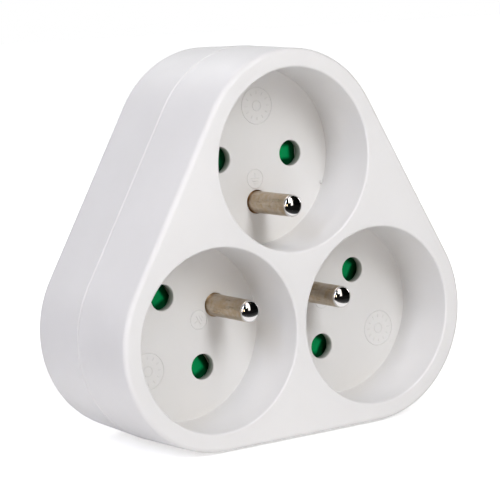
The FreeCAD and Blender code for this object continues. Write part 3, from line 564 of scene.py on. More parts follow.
class FrontShape:
    """Levels, outlines and sample angles that the front shell's surfaces share."""

    def __init__(self, body, contact):
        self.body = sizes = millimetres(body)
        self.contact = millimetres(contact)
        self.socket_at = sizes["spacing"] / math.sqrt(3.0)
        self.y_face = -sizes["depth"]
        self.y_floor = self.y_face + sizes["recess"]
        self.y_back = self.y_floor + sizes["floor_wall"]
        self.skirt = self.skirt_profile(math.tan(body.draft))
        self.face_corner = self.skirt[0, 0]
        self.wall = rounded(
            [
                (sizes["mouth"] + sizes["mouth_round"] + 0.1, self.y_face, 0.0),
                (sizes["mouth"], self.y_face, sizes["mouth_round"]),
                (sizes["floor"], self.y_floor, sizes["floor_round"]),
                (sizes["floor"] - sizes["floor_round"] - 0.2, self.y_floor, 0.0),
            ]
        )
        self.floor_flat = self.wall[-1, 0]
        self.half = self.half_angles()
        self.around = np.concatenate([-self.half[:0:-1], self.half[:-1]])

    def skirt_profile(self, slope):
        """Profile of the sides, from the face over the seam and the lip to the floor's back."""
        sizes = self.body
        y_seam = -sizes["seam"]
        y_rim = y_seam - sizes["seam_gap"]
        y_lip = y_seam + sizes["lip"]
        face = sizes["corner"] - (y_seam - self.y_face) * slope
        inner = sizes["corner"] - sizes["wall"]
        lip = inner + sizes["lip_wall"]
        bevel = sizes["seam_bevel"]
        corners = [
            (face - sizes["face_round"] - 0.3, self.y_face, 0.0),
            (face, self.y_face, sizes["face_round"]),
            (sizes["corner"] - bevel * slope - 0.02, y_rim - bevel, 0.04),
            (sizes["corner"] - bevel, y_rim, 0.0),
            (lip, y_rim, 0.0),
            (lip, y_lip, 0.0),
            (inner, y_lip, 0.0),
            (inner, self.y_back, 0.0),
        ]
        return rounded(corners, steps=8)

    def side_middle(self):
        """Angle from a socket's outward direction to the middle of the side beside it."""
        half = self.body["spacing"] / 2
        return HALF_CORNER + math.degrees(math.atan2(half, self.face_corner))

    def half_angles(self):
        """Sample angles from a socket's outward direction to the opposite one.

        They hold the end of the corner, the middle of the side and the split of the floor.
        """
        stops = sorted([0.0, HALF_CORNER, self.side_middle(), self.floor_split(), 180.0])
        runs = [
            np.linspace(low, high, max(round((high - low) / 2.8), 2) + 1)[:-1]
            for low, high in zip(stops, stops[1:])
        ]
        return np.append(np.concatenate(runs), 180.0)

    def floor_split(self):
        """Angle at which the line halfway between a contact hole and the pin meets the wall."""
        return math.degrees(math.atan2(*self.split_end()))

    def split_end(self):
        """Where that line leaves the flat floor: the root of a quadratic for its length."""
        hole = np.array([self.contact["half_spacing"], 0.0])
        pin = np.array([0.0, -self.contact["pin_offset"]])
        middle = (hole + pin) / 2
        along = np.array([hole[1] - pin[1], pin[0] - hole[0]])
        along = along / np.linalg.norm(along)
        ahead = middle @ along
        reach = -ahead + math.sqrt(ahead ** 2 + self.floor_flat ** 2 - middle @ middle)
        return middle + along * reach

    def split_start(self):
        """Point equally far from the pin and both contact holes."""
        half, offset = self.contact["half_spacing"], self.contact["pin_offset"]
        return np.array([0.0, (half ** 2 - offset ** 2) / (2 * offset)])

    def local(self, points, index):
        """Points (across, outward) of a socket as x and z of the whole body.

        Across times the direction a quarter turn back from outward, plus the socket's
        distance and outward times the outward direction.
        """
        (ux, uz), = directions([outward(index)])
        across, out = points[..., 0], points[..., 1] + self.socket_at
        return np.stack([across * uz + out * ux, -across * ux + out * uz], axis=-1)

    def spot(self, across, out, index):
        """One such point, as x and z."""
        return self.local(np.array([across, out]), index)

    def cell_edge(self, corner):
        """Edge of a socket's third of the body at the sample angles, as (across, outward).

        On the corner a point is the radius times its unit vector. On the straight side it is
        the side's outward vector times the radius, plus the vector along it times how far
        along it lies. On the line to the next third it is the unit vector times half the
        spacing over a cosine.
        """
        angle, sign = np.abs(self.around), np.sign(self.around)
        half = self.body["spacing"] / 2
        spokes = bearings(self.around)
        along = np.minimum(self.face_corner * np.tan(np.radians(angle - HALF_CORNER)), half)
        normal, tangent = side_frame(sign)
        side_points = normal * corner + tangent * along[:, None]
        edge = np.where((angle <= HALF_CORNER)[:, None], corner * spokes, side_points)
        # The line to the next third shortens with the corner, so its first stretch is fitted.
        line = spokes * (half / np.cos(np.radians(angle - HALF_CORNER - 90.0)))[:, None]
        part = np.hypot(line[:, 0], line[:, 1] + self.socket_at) / self.side_reach(self.face_corner)
        fitted = self.line_point(part[:, None] * self.side_reach(corner), sign)
        return np.where((angle > self.side_middle() + TINY)[:, None], fitted, edge)

    def side_reach(self, corner):
        """Distance from the plug's axis to the middle of a side."""
        return self.socket_at / 2 + corner

    def line_point(self, distance, sign):
        """Points on the line between two thirds, at a distance from the plug's axis."""
        normal, _ = side_frame(sign)
        return distance * normal - np.array([0.0, self.socket_at])

    def path(self, index):
        """Centres and outward vectors along a socket's corner and half of each side beside it."""
        angle = self.around[np.abs(self.around) <= self.side_middle() + TINY]
        angle = np.append(angle, -angle[0]) if -angle[0] - angle[-1] > TINY else angle
        past = np.maximum(np.abs(angle) - HALF_CORNER, 0.0)
        _, tangent = side_frame(np.sign(angle))
        feet = tangent * self.face_corner * np.tan(np.radians(past))[:, None]
        centres = self.local(feet, index)
        spokes = bearings(np.clip(angle, -HALF_CORNER, HALF_CORNER))
        return centres, self.local(feet + spokes, index) - centres

    def floor_cells(self):
        """Holes of a floor in (across, outward): middle, radius, edge and outline.

        The floor is split by the lines halfway between two holes. An outline runs from the
        point that all three share, along one such line, the wall, and the next line back.
        """
        start, end = self.split_start(), self.split_end()
        top = np.array([0.0, self.floor_flat])
        to_top = start + (top - start) * np.linspace(0, 1, 20)[:, None]
        to_end = start + (end - start) * np.linspace(0, 1, 22)[:, None]
        split = self.floor_split()
        near = self.half[(self.half > TINY) & (self.half < split - TINY)]
        beyond = self.half[self.half > split + TINY]
        beyond = np.concatenate([beyond, 360.0 - beyond[-2::-1]])
        right = np.concatenate([to_top, self.floor_flat * bearings(near), to_end[:0:-1]])
        mirror = np.array([-1.0, 1.0])
        wall = self.floor_flat * bearings(beyond)
        foot = np.concatenate([to_end, wall, (to_end * mirror)[:0:-1]])
        hole, half = self.contact["hole"], self.contact["half_spacing"]
        ease = self.contact["hole_round"]
        pin = np.array([0.0, -self.contact["pin_offset"]])
        return [
            (np.array([half, 0.0]), hole, ease, right),
            (np.array([-half, 0.0]), hole, ease, right * mirror),
            (pin, self.contact["pin_root"] + 0.05, 0.08, foot),
        ]


def front_patches(shape):
    """All surfaces of the front shell: skirt, face, recesses, floors with holes, and back."""
    patches = []
    spokes = bearings(shape.around)
    for index in SOCKETS:
        patches.append((carried(shape.skirt, shape.path(index)), False))
        face_edge = shape.local(shape.cell_edge(shape.face_corner), index)
        mouth = shape.local(shape.wall[0, 0] * spokes, index)
        patches.append((ruled(mouth, face_edge, shape.y_face, (0.0, 0.25, 0.6, 1.0)), True))
        x, z = shape.spot(0.0, 0.0, index)
        patches.append((lathe(shape.wall, outward(index) - shape.around, x, z), True))
        back_edge = shape.local(shape.cell_edge(shape.skirt[-1, 0]), index)
        back_ring = shape.local(shape.floor_flat * spokes, index)
        patches.append((ruled(back_ring, back_edge, shape.y_back), True))
        for cell in shape.floor_cells():
            patches += hole_patches(shape, index, *cell)
    return patches


def hole_patches(shape, index, middle, radius, ease, outline):
    """Floor, hole wall and back round one hole.

    The floor runs straight from each point of its outline towards the hole's middle, and
    the hole's wall stands on the circle where those lines end.
    """
    spoke = outline - middle
    spoke = spoke / np.linalg.norm(spoke, axis=1)[:, None]
    corners = [
        (radius + ease + 0.06, shape.y_floor, 0.0),
        (radius, shape.y_floor, ease),
        (radius, shape.y_back, 0.0),
    ]
    profile = rounded(corners, steps=4, rest=0.03)
    rings = shape.local(middle + profile[:, :1, None] * spoke[None], index)
    edge = shape.local(outline, index)
    return [
        (ruled(rings[0], edge, shape.y_floor, (0.0, 0.12, 0.45, 1.0)), True),
        (raised(rings, profile[:, 1:2]), True),
        (ruled(rings[-1], edge, shape.y_back), True),
    ]


def store_hole_depth(mesh, shape):
    """Attribute for how deep a point lies in a contact hole: 0 at the floor, 1 at the end, which
    the white plastic turns into painted shade.
    """
    points = np.empty(len(mesh.vertices) * 3)
    mesh.vertices.foreach_get("co", points)
    points = points.reshape(-1, 3) / MM
    depth = np.clip((points[:, 1] - shape.y_floor) / shape.body["floor_wall"], 0.0, 1.0)
    inside = np.zeros(len(points), bool)
    for index in SOCKETS:
        for side in (-1, 1):
            x, z = shape.spot(side * shape.contact["half_spacing"], 0.0, index)
            off = np.hypot(points[:, 0] - x, points[:, 2] - z)
            inside |= off < shape.contact["hole"] + 0.01
    mesh.attributes.new("hole_depth", "FLOAT", "POINT").data.foreach_set("value", depth * inside)


# Moulded marks on the floors


def swelling():
    """Places across a low mark, from -1 to 1, and its height there: sine and cosine of a part."""
    part = np.linspace(-math.pi / 2, math.pi / 2, 7)
    return np.sin(part), np.cos(part)


def ridge(radius, width, height, y_floor, x, z):
    """Low round-topped ring on a floor."""
    across, swell = swelling()
    profile = np.stack([radius + across * width / 2, y_floor - swell * height + 0.01], axis=-1)
    return lathe(profile, full_turn(6.0), x, z), True


def bar_mark(start, end, width, height, y_floor):
    """Low round-topped bar between two points (x, z), with pinched ends."""
    along = end - start
    side = np.array([-along[1], along[0]]) / np.linalg.norm(along)
    across, swell = swelling()
    shares = np.array([0.0, 0.0, 1.0, 1.0])
    ends = np.array([0.0, 1.0, 1.0, 0.0])
    flat = start + shares[:, None, None] * along + across[None, :, None] * side * width / 2
    return raised(flat, y_floor + 0.01 - swell[None] * height * ends[:, None]), False


def mark_patches(shape, index):
    """Round mould mark with plain dial ticks, and a ring with the sign of protective earth."""
    height, y_floor = shape.contact["relief"], shape.y_floor
    low, line = height * 0.8, 0.3
    dial = shape.spot(*DIALS[index], index)
    patches = [ridge(4.0, line, height, y_floor, *dial)]
    for spoke in directions(full_turn(30.0)):
        patches.append(bar_mark(dial + spoke * 2.5, dial + spoke * 3.2, line, low, y_floor))
    patches.append(ridge(1.1, 0.32, low, y_floor, *dial))
    sign = np.array([-0.2, -4.85])
    patches.append(ridge(2.1, line, height, y_floor, *shape.local(sign, index)))
    strokes = [
        ((0.0, 1.3), (0.0, 0.1)),
        ((-1.1, 0.1), (1.1, 0.1)),
        ((-0.75, -0.5), (0.75, -0.5)),
        ((-0.4, -1.1), (0.4, -1.1)),
    ]
    for stroke in strokes:
        first, last = shape.local(sign + np.array(stroke), index)
        patches.append(bar_mark(first, last, 0.26, height, y_floor))
    if index == 1:
        part = np.linspace(0.0, math.pi / 2, 5)
        nib = np.stack([0.45 * np.cos(part), y_floor + 0.05 - 0.5 * np.sin(part)], axis=-1)
        patches.append((lathe(nib, full_turn(30.0), *shape.spot(17.75, -7.3, index)), True))
    return patches


# Pins and shutters


def pin_tip(radius, y_shoulder, y_end):
    """Profile of a pin's polished tip: a quarter of an ellipse from its shoulder to its middle."""
    part = np.linspace(0.0, math.pi / 2, 17)
    out = radius * np.cos(part)
    out[-1] = 0.0
    return np.stack([out, y_shoulder + (y_end - y_shoulder) * np.sin(part)], axis=-1)


def earth_pin_profile(shape):
    """Profile of a socket's earth pin, from its riveted tail to its polished tip."""
    y_floor, pin, root = shape.y_floor, shape.contact["pin"], shape.contact["pin_root"]
    y_tip = y_floor - shape.contact["pin_length"]
    y_shank = y_tip + 1.2
    tail, y_tail = 1.6, -14.8
    flange, y_flange, y_under = 3.4, -16.0, -17.2
    shank = rounded(
        [
            (0.0, y_tail, 0.0),
            (tail, y_tail, 0.0),
            (tail, y_flange, 0.0),
            (flange, y_flange, 0.15),
            (flange, y_under, 0.15),
            (root, y_under, 0.0),
            (root, y_floor, 0.05),
            (pin, y_floor - 0.03, 0.0),
            (pin, y_shank, 0.0),
        ],
        steps=3,
        rest=0.01,
    )
    groove = [[pin, y_shank - 0.04], [pin - 0.05, y_shank - 0.08], [pin - 0.05, y_shank - 0.13]]
    return np.concatenate([shank, groove, pin_tip(pin - 0.04, y_shank - 0.16, y_tip)])


def plug_pin_profile(shape, y_bar):
    """Profile of a plug pin, from its tail at the busbar to its tapered tip."""
    pin, root = shape.contact["pin"], shape.contact["pin_root"]
    tail, neck, blunt = 1.5, 2.0, 1.5
    flange, y_flange, y_under = 3.6, 10.8, 12.0
    corners = [
        (0.0, y_bar, 0.0),
        (tail, y_bar, 0.0),
        (tail, y_bar + 1.0, 0.0),
        (neck, y_bar + 1.0, 0.0),
        (neck, y_flange, 0.0),
        (flange, y_flange, 0.1),
        (flange, y_under, 0.1),
        (root, y_under, 0.0),
        (root, PLUG_FACE, 0.05),
        (pin, PLUG_FACE + 0.03, 0.0),
        (pin, PLUG_PIN_TIP - 1.6, 0.5),
        (blunt, PLUG_PIN_TIP, 0.35),
        (0.0, PLUG_PIN_TIP, 0.0),
    ]
    return rounded(corners, steps=5, rest=0.02)


def pad_patches(across, shape):
    """Green pad behind one contact hole of the top socket, as a level over a square grid.

    One section runs outwards, with a flat top between two slopes. Another runs across, with
    a low shelf at each end. A point lies below the top by the hypotenuse of the two drops,
    which rounds the corners between them.
    """
    half, reach, y_foot = 3.4, 3.8, -15.6
    out = np.linspace(-half, reach, 61)[:, None]
    side = np.linspace(-half, half, 58)[None]
    slope, shelf, shelf_end = 1.2, 0.33, 0.39
    along = np.interp(out, [-half, -1.1, 1.1, reach], [slope, 0.0, 0.0, slope])
    stops = [-half, -2.1, -1.3, 1.3, 2.1, half]
    beside = np.interp(side, stops, [shelf_end, shelf, 0.0, 0.0, shelf, shelf_end])
    flat = np.stack(np.broadcast_arrays(across + side, shape.socket_at + out), axis=-1)
    grid = raised(flat, PAD_TOP + np.hypot(along, beside))
    edge = np.concatenate([grid[0, :-1], grid[:-1, -1], grid[-1, :0:-1], grid[:0:-1, 0]])
    under = edge.copy()
    under[:, 1] = y_foot
    middle = np.broadcast_to(np.array([across, y_foot, shape.socket_at]), under.shape)
    return [(grid, False), (np.stack([edge, under, middle]), True)]


def slab(x_range, y_range, z_range, ease):
    """Box with rounded edges: a rectangle with quarter-circle corners, carried through it.

    The outline is drawn in towards the front and the back face by the same radius.
    """
    (left, right), (low, high), (bottom, top) = x_range, y_range, z_range
    middle = np.array([(left + right) / 2, (bottom + top) / 2])
    reach = np.array([(right - left) / 2 - ease, (top - bottom) / 2 - ease])
    quarter = np.linspace(0.0, 90.0, 5)
    centres, spokes = [], []
    for signs, start in (((1, 1), 0.0), ((-1, 1), 90.0), ((-1, -1), 180.0), ((1, -1), 270.0)):
        centres += [reach * signs] * len(quarter)
        spokes.append(directions(quarter + start))
    soft = min(ease, (high - low) / 3)
    near = 0.3 * soft
    profile = [(0.0, low), (ease - soft, low), (ease - near, low + near), (ease, low + soft)]
    profile += [(ease, high - soft), (ease - near, high - near), (ease - soft, high), (0.0, high)]
    profile = np.array(profile)
    flat = middle + np.array(centres) + profile[:, :1, None] * np.concatenate(spokes)
    grid = raised(flat, profile[:, 1:2])
    return [(grid, True), (fanned(grid[0]), True), (fanned(grid[-1]), True)]


def shutter_patches(shape):
    """Shutter of the top socket: plate, two pads, and the block with the spring's pocket."""
    at, half_plate, half_block = shape.socket_at, 12.9, 3.0
    patches = slab((-half_plate, half_plate), (-16.2, -15.0), (at - 3.4, at + 8.0), 0.4)
    for side in (-1, 1):
        patches += pad_patches(side * shape.contact["half_spacing"], shape)
    patches += slab((-half_block, half_block), (-19.25, -15.8), (at + 4.4, at + 6.4), 0.3)
    bore, outer, rim, bottom, under = 1.55, 2.1, 8.0, 6.45, 6.3
    corners = [
        (0.0, bottom, 0.0),
        (bore, bottom, 0.0),
        (bore, rim, 0.1),
        (outer, rim, 0.2),
        (outer, under, 0.0),
        (0.0, under, 0.0),
    ]
    tube = lathe(rounded(corners, 3, 0.02), full_turn(15.0))
    upright = np.stack([tube[..., 0], tube[..., 2] + SPRING_AXIS, tube[..., 1] + at], axis=-1)
    patches.append((upright, True))
    return patches


def spring_patches(shape):
    """Return spring of the top socket's shutter, with a closed turn at each end.

    Its middle line turns about an axis in step with a first angle, at the coil's radius, and
    rises evenly, but only by the wire's thickness in the first and the last turn. A point of
    the wire is the middle line, plus the wire's radius times the cosine of a second angle
    along the spoke and its sine along the vector square to both the spoke and the line.
    """
    coil, wire, turns = 1.2, 0.175, 10
    low, high = shape.socket_at + 6.5, shape.socket_at + SPRING_SEAT
    angle = np.linspace(0.0, 2 * math.pi * turns, turns * 24 + 1)
    level = np.interp(
        angle / (2 * math.pi),
        [0.0, 1.0, turns - 1.0, turns],
        [low + wire, low + 3 * wire, high - 3 * wire, high - wire],
    )
    still = np.zeros_like(angle)
    spoke = np.stack([np.cos(angle), np.sin(angle), still], axis=-1)
    middle = coil * spoke + np.stack([still, still + SPRING_AXIS, level], axis=-1)
    ahead = np.gradient(middle, axis=0)
    ahead = ahead / np.linalg.norm(ahead, axis=1)[:, None]
    square = np.cross(ahead, spoke)
    section = np.radians(full_turn(36.0))[:, None]
    ring = spoke[:, None] * np.cos(section) + square[:, None] * np.sin(section)
    grid = middle[:, None] + wire * ring
    return [(grid, True), (fanned(grid[0]), True), (fanned(grid[-1]), True)]


# Operators, one for each group of pieces


def shape_now():
    scene = bpy.context.scene
    return FrontShape(scene.adapter_body, scene.adapter_contact)


def shell_material():
    finish = bpy.context.scene.adapter_finish
    return moulded_plastic("white_shell_plastic", tuple(finish.shell), finish.shell_rough)


class ADAPTER_OT_front_shell(bpy.types.Operator):
    """Builds the front shell with its three recesses"""

    bl_idname = "adapter.front_shell"
    bl_label = "Front Shell"

    def execute(self, context):
        shape = shape_now()
        piece = new_piece("front_shell", front_patches(shape), shell_material())
        store_hole_depth(piece.data, shape)
        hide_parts("front_housing")
        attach(piece, "frame")
        return {"FINISHED"}


class ADAPTER_OT_floor_marks(bpy.types.Operator):
    """Adds the low moulded marks on the floors"""

    bl_idname = "adapter.floor_marks"
    bl_label = "Floor Marks"

    def execute(self, context):
        shape = shape_now()
        finish = context.scene.adapter_finish
        # The marks are drawn a little darker, rougher and more mottled than the shell.
        tone = tuple(0.97 * part for part in finish.shell)
        mark_finish = moulded_plastic("mark_plastic", tone, finish.shell_rough + 0.1, mottle=0.04)
        for index in SOCKETS:
            piece = new_piece(f"floor_marks_{index}", mark_patches(shape, index), mark_finish)
            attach(piece, "frame")
        return {"FINISHED"}


class ADAPTER_OT_rear_shell(bpy.types.Operator):
    """Builds the rear shell with the plug body"""

    bl_idname = "adapter.rear_shell"
    bl_label = "Rear Shell"

    def execute(self, context):
        piece = smoothed_copy("rear_housing", "rear_shell", shell_material(), edge=0.16)
        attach(piece, "frame")
        return {"FINISHED"}


class ADAPTER_OT_earth_pins(bpy.types.Operator):
    """Builds the three earth pins"""

    bl_idname = "adapter.earth_pins"
    bl_label = "Earth Pins"

    def execute(self, context):
        shape = shape_now()
        nickel = tuple(context.scene.adapter_finish.nickel)
        ends = (shape.y_floor, shape.y_floor - shape.contact["pin_length"])
        profile = earth_pin_profile(shape)
        for index in SOCKETS:
            x, z = shape.spot(0.0, -shape.contact["pin_offset"], index)
            tarnish = (0.55, 0.7, 0.82) if index == 1 else (0.12, 0.18, 0.25)
            metal = pin_metal(f"pin_nickel_{index}", nickel, 0.26, *ends, tarnish)
            grid = lathe(profile, full_turn(5.0), x, z)
            piece = new_piece(f"earth_pin_piece_{index}", [(grid, True)], metal)
            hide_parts(f"earth_pin_{index}")
            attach(piece, "frame")
        return {"FINISHED"}


class ADAPTER_OT_shutters(bpy.types.Operator):
    """Builds the three green shutters"""

    bl_idname = "adapter.shutters"
    bl_label = "Shutters"

    def execute(self, context):
        finish = context.scene.adapter_finish
        green = green_plastic("green_shutter_plastic", tuple(finish.shutter))
        top = shutter_patches(shape_now())
        for index in SOCKETS:
            piece = new_piece(f"shutter_piece_{index}", turned(top, index), green)
            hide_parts(f"shutter_{index}")
            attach(piece, f"shutter_{index}")
        return {"FINISHED"}


class ADAPTER_OT_springs(bpy.types.Operator):
    """Builds the return springs"""

    bl_idname = "adapter.springs"
    bl_label = "Shutter Springs"

    def execute(self, context):
        shape = shape_now()
        steel = tuple(context.scene.adapter_finish.steel)
        wire = worked_metal("drawn_spring_wire", steel, 0.25, scale=1500.0)
        top = spring_patches(shape)
        for index in SOCKETS:
            piece = new_piece(f"spring_piece_{index}", turned(top, index), wire)
            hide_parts(f"shutter_spring_{index}")
            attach(piece, "frame")
            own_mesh(piece)
        return {"FINISHED"}


class ADAPTER_OT_plug_contacts(bpy.types.Operator):
    """Builds the plug's pins and its side earth strips"""

    bl_idname = "adapter.plug_contacts"
    bl_label = "Plug Contacts"

    def execute(self, context):
        shape = shape_now()
        nickel = tuple(context.scene.adapter_finish.nickel)
        tarnish = (0.1, 0.12, 0.15)
        metal = pin_metal("plug_pin_nickel", nickel, 0.24, PLUG_FACE, PLUG_PIN_TIP, tarnish)
        half = shape.contact["half_spacing"]
        for name, x, y_bar in (("live", half, -12.8), ("neutral", -half, -8.6)):
            grid = lathe(plug_pin_profile(shape, y_bar), full_turn(6.0), x, 0.0)
            piece = new_piece(f"plug_pin_piece_{name}", [(grid, True)], metal)
            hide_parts(f"plug_pin_{name}")
            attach(piece, "frame")
        strip_metal = worked_metal("strip_nickel", nickel, 0.28, stretch=(1.0, 0.15, 1.0))
        strips = smoothed_copy("plug_earth_strips", "earth_strip_piece", strip_metal, edge=0.08)
        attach(strips, "frame")
        return {"FINISHED"}


class ADAPTER_OT_fasteners(bpy.types.Operator):
    """Gives the screws eased edges and a zinc finish"""

    bl_idname = "adapter.fasteners"
    bl_label = "Fasteners"

    def execute(self, context):
        zinc = tuple(context.scene.adapter_finish.steel)
        steel = worked_metal("screw_steel_finish", zinc, 0.32, scale=500.0)
        screws = smoothed_copy("housing_screws", "housing_screw_pieces", steel, edge=0.1)
        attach(screws, "frame")
        return {"FINISHED"}


class ADAPTER_OT_inside(bpy.types.Operator):
    """Finishes the parts inside the body"""

    bl_idname = "adapter.inside"
    bl_label = "Inside"

    def execute(self, context):
        finish = context.scene.adapter_finish
        brass, steel = tuple(finish.brass), tuple(finish.steel)
        materials = {
            "carrier_plastic": moulded_plastic("carrier_plastic_finish", tuple(finish.inner), 0.5),
            "brass": worked_metal("stamped_brass", brass, 0.3),
            "contact_brass": worked_metal("rolled_brass", brass, 0.25, stretch=(1.0, 0.2, 1.0)),
            "screw_steel": worked_metal("small_screw_steel", steel, 0.32, scale=500.0),
        }
        for part in frame["record"]["subparts"]:
            node = frame["nodes"][part["node"]]
            if node.hide_render:
                continue
            node.data.materials.clear()
            node.data.materials.append(materials[part["material_slot"]])
        return {"FINISHED"}


class ADAPTER_OT_studio(bpy.types.Operator):
    """Sets up the camera, the floor, the backdrop light and the soft lights"""

    bl_idname = "adapter.studio"
    bl_label = "Studio"

    def execute(self, context):
        low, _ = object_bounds()
        self.camera(context)
        self.world(context)
        self.floor(low[2])
        self.dark_reflection(low[2])
        self.card()
        self.lights(context)
        context.scene.view_settings.view_transform = "Standard"
        return {"FINISHED"}

    def camera(self, context):
        """Places the camera from the turn, tilt, roll and place that fit the view."""
        studio = context.scene.adapter_studio
        turns = ((studio.roll, "Z"), (studio.elevation, "X"), (studio.azimuth, "Y"))
        view = np.linalg.multi_dot([Matrix.Rotation(angle, 3, axis) for angle, axis in turns])
        offset = np.array([studio.shift_right, studio.shift_down, studio.distance])
        # The view's axes are right, down and ahead, and the frame's are right, ahead and up.
        to_frame = np.array([[1, 0, 0], [0, 0, 1], [0, -1, 0]], float)
        spot = to_frame @ -view.T @ offset
        spot[1] -= context.scene.adapter_body.depth
        right, down, ahead = (to_frame @ row for row in view)
        matrix = Matrix.Identity(4)
        for column, axis in enumerate((right, -down, -ahead)):
            matrix.col[column] = (*axis, 0.0)
        matrix.col[3] = (*spot, 1.0)
        data = bpy.data.cameras.new("Camera")
        data.lens = studio.lens
        data.sensor_width = 36.0
        camera = bpy.data.objects.new("Camera", data)
        context.scene.collection.objects.link(camera)
        camera.matrix_world = matrix
        context.scene.camera = camera

    def world(self, context):
        """Soft light from all round, shown white behind the object and in its reflections."""
        world = context.scene.world = bpy.data.worlds.new("Studio")
        nodes = Nodes(world)
        strength = context.scene.adapter_studio.world
        soft = nodes.add("Background", Color=(0.97, 0.98, 1.0, 1.0), Strength=strength)
        white = nodes.add("Background", Color=WHITE)
        rays = nodes.add("LightPath").outputs
        seen = nodes.math("MAXIMUM", rays["Is Camera Ray"], rays["Is Glossy Ray"])
        seen = nodes.math("MAXIMUM", seen, rays["Is Transmission Ray"])
        mix = nodes.add("MixShader", _0=seen, _1=soft.outputs[0], _2=white.outputs[0])
        nodes.add("OutputWorld", Surface=mix.outputs[0])

    def floor(self, lowest):
        """Wide pale floor just under the lowest point.

        It is brightened where the camera sees it, and half as much in reflections.
        """
        size, level = 3.0, lowest - 0.0001
        corners = [(x * size, y * size, level) for x, y in ((-1, -1), (1, -1), (1, 1), (-1, 1))]
        mesh = bpy.data.meshes.new("studio_floor")
        mesh.from_pydata(corners, [], [(0, 1, 2, 3)])
        paper = Finish("floor_paper")
        rays = paper.add("LightPath").outputs
        straight = paper.math("MAXIMUM", rays["Is Camera Ray"], rays["Is Transmission Ray"])
        seen = paper.math("MULTIPLY_ADD", rays["Is Glossy Ray"], 0.5, straight)
        reach = paper.add("VectorMath", {"operation": "LENGTH"}, _0=paper.place).outputs["Value"]
        material = paper.shade(
            Base_Color=(0.95, 0.95, 0.95, 1.0),
            Roughness=0.9,
            Emission_Color=WHITE,
            Emission_Strength=paper.math("MULTIPLY", seen, paper.spread(reach, 0.06, 0.24, 0.6)),
        )
        floor = place_piece("studio_floor", mesh, material)
        floor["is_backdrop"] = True

    def dark_reflection(self, lowest):
        """Dark sheet on the camera's side that only reflections see: a painted dark reflection, for
        contrast in the metal.

        It lies on the floor from near the object outwards and then rises as a dome.
        """
        heights, dome, lie = np.linspace(0.0, 72.0, 14), 1600.0, lowest / MM + 0.5
        rise = dome * directions(heights)
        reach = np.concatenate([[75.0, 400.0, 900.0], rise[:, 0]])
        level = np.concatenate([[lie, lie, lie], lie + rise[:, 1]])
        # Painted reflection: a dark sheet that only reflections see, grey near the object and
        # nearly black further out.
        reflection_sheet = Finish("painted_dark_reflection")
        away = reflection_sheet.add("VectorMath", {"operation": "LENGTH"}, _0=reflection_sheet.place).outputs["Value"]
        material = reflection_sheet.shade(
            Base_Color=reflection_sheet.ramp(away, [(0.075, 0.3), (0.1, 0.05), (0.16, 0.008)]),
            Roughness=1.0,
            Specular_IOR_Level=0.0,
        )
        self.sheet("studio_dark_reflection", np.linspace(-125.0, 122.0, 40), reach, level, material)

    def card(self):
        """Upright glowing card in front that only reflections see: a painted highlight, a bright
        bar in the pins' tips.
        """
        curve = 1500.0 * directions(np.linspace(-1.2, 48.0, 8))
        # Painted highlight: the card glows, though it is no lamp.
        material = Finish("painted_highlight_card").shade(
            Base_Color=(0.9, 0.9, 0.9, 1.0),
            Emission_Color=(1.0, 0.96, 0.9, 1.0),
            Emission_Strength=1.4,
        )
        self.sheet("studio_highlight_card", np.linspace(9.0, 21.0, 4), curve[:, 0], curve[:, 1], material)

    def sheet(self, name, degrees, reach, level, material):
        """Sheet round the object that only reflections see.

        A point is its reach times the unit vector of its turn from the front, and its level.
        """
        x, ahead = np.moveaxis(bearings(degrees) * reach[:, None, None], -1, 0)
        grid = np.stack([x, -ahead, np.broadcast_to(level[:, None], x.shape)], axis=-1)
        sheet = new_piece(name, [(grid, False)], material)
        sheet.visible_camera = False
        sheet.visible_diffuse = False
        sheet.visible_shadow = False
        sheet.visible_transmission = False
        sheet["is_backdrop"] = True

    def lights(self, context):
        """Soft boxes round the object, each set by its turn and height as seen from the face."""
        studio = context.scene.adapter_studio
        boxes = [
            ("Key", 0.0, 38.0, (0.24, 0.55), studio.key, (0.91, 0.925, 1.0)),
            ("Low key", 0.0, 28.0, (0.24, 0.4), studio.low_key, (1.0, 0.99, 0.87)),
            ("Left", -64.0, 34.0, (0.14, 0.5), studio.left, (0.76, 0.82, 0.98)),
            ("Low left", -72.0, 8.0, (0.14, 0.3), studio.low_left, (1.0, 0.93, 0.9)),
            ("Rear left", -105.0, 8.0, (0.14, 0.3), studio.rear_left, (0.97, 0.85, 1.0)),
            ("Low front", -30.0, 6.0, (0.1, 0.2), studio.low_front, (1.0, 0.76, 0.48)),
            ("Top", -10.0, 64.0, (0.3, 0.3), studio.top, (1.0, 0.82, 0.66)),
            ("Right", 82.0, 14.0, (0.07, 0.3), studio.right, (1.0, 0.97, 1.0)),
            ("Back", 180.0, 50.0, (0.3, 0.3), studio.back, (0.99, 1.0, 1.0)),
        ]
        reach, middle = 0.9, Vector((0.0, -0.02, 0.0))
        for name, turn, height, size, power, tint in boxes:
            (across, ahead), (level, rise) = bearings([turn])[0], directions([height])[0]
            away = Vector((across * level, -ahead * level, rise))
            data = bpy.data.lights.new(name, "AREA")
            data.shape = "RECTANGLE"
            data.size, data.size_y = size
            data.energy = power
            data.color = tint
            lamp = bpy.data.objects.new(name, data)
            context.scene.collection.objects.link(lamp)
            lamp.location = away * reach + middle
            lamp.rotation_mode = "QUATERNION"
            lamp.rotation_quaternion = away.to_track_quat("Z", "Y")


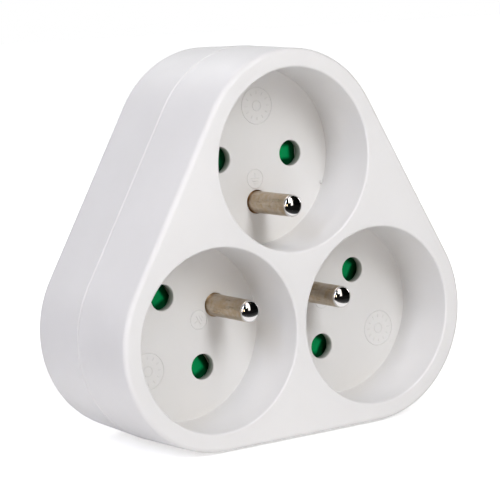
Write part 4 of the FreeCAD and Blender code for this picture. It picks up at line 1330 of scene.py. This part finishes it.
STEPS = (
    ADAPTER_OT_front_shell,
    ADAPTER_OT_floor_marks,
    ADAPTER_OT_rear_shell,
    ADAPTER_OT_earth_pins,
    ADAPTER_OT_shutters,
    ADAPTER_OT_springs,
    ADAPTER_OT_plug_contacts,
    ADAPTER_OT_fasteners,
    ADAPTER_OT_inside,
    ADAPTER_OT_studio,
)
GROUPS = {
    "adapter_body": AdapterBodySizes,
    "adapter_contact": AdapterContactSizes,
    "adapter_finish": AdapterFinishes,
    "adapter_studio": AdapterStudio,
}


class ADAPTER_PT_panel(bpy.types.Panel):
    """Lists the adapter's steps"""

    bl_label = "Socket Adapter"
    bl_idname = "ADAPTER_PT_panel"
    bl_space_type = "VIEW_3D"
    bl_region_type = "UI"
    bl_category = "Adapter"

    def draw(self, context):
        for step in STEPS:
            self.layout.operator(step.bl_idname)


def register():
    for group in GROUPS.values():
        bpy.utils.register_class(group)
    for step in STEPS:
        bpy.utils.register_class(step)
    bpy.utils.register_class(ADAPTER_PT_panel)
    for name, group in GROUPS.items():
        setattr(bpy.types.Scene, name, PointerProperty(type=group))


def unregister():
    for name in GROUPS:
        delattr(bpy.types.Scene, name)
    bpy.utils.unregister_class(ADAPTER_PT_panel)
    for step in reversed(STEPS):
        bpy.utils.unregister_class(step)
    for group in reversed(list(GROUPS.values())):
        bpy.utils.unregister_class(group)


def main():
    register()
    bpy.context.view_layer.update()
    for step in STEPS:
        group, name = step.bl_idname.split(".")
        getattr(getattr(bpy.ops, group), name)()


if __name__ == "__main__":
    main()
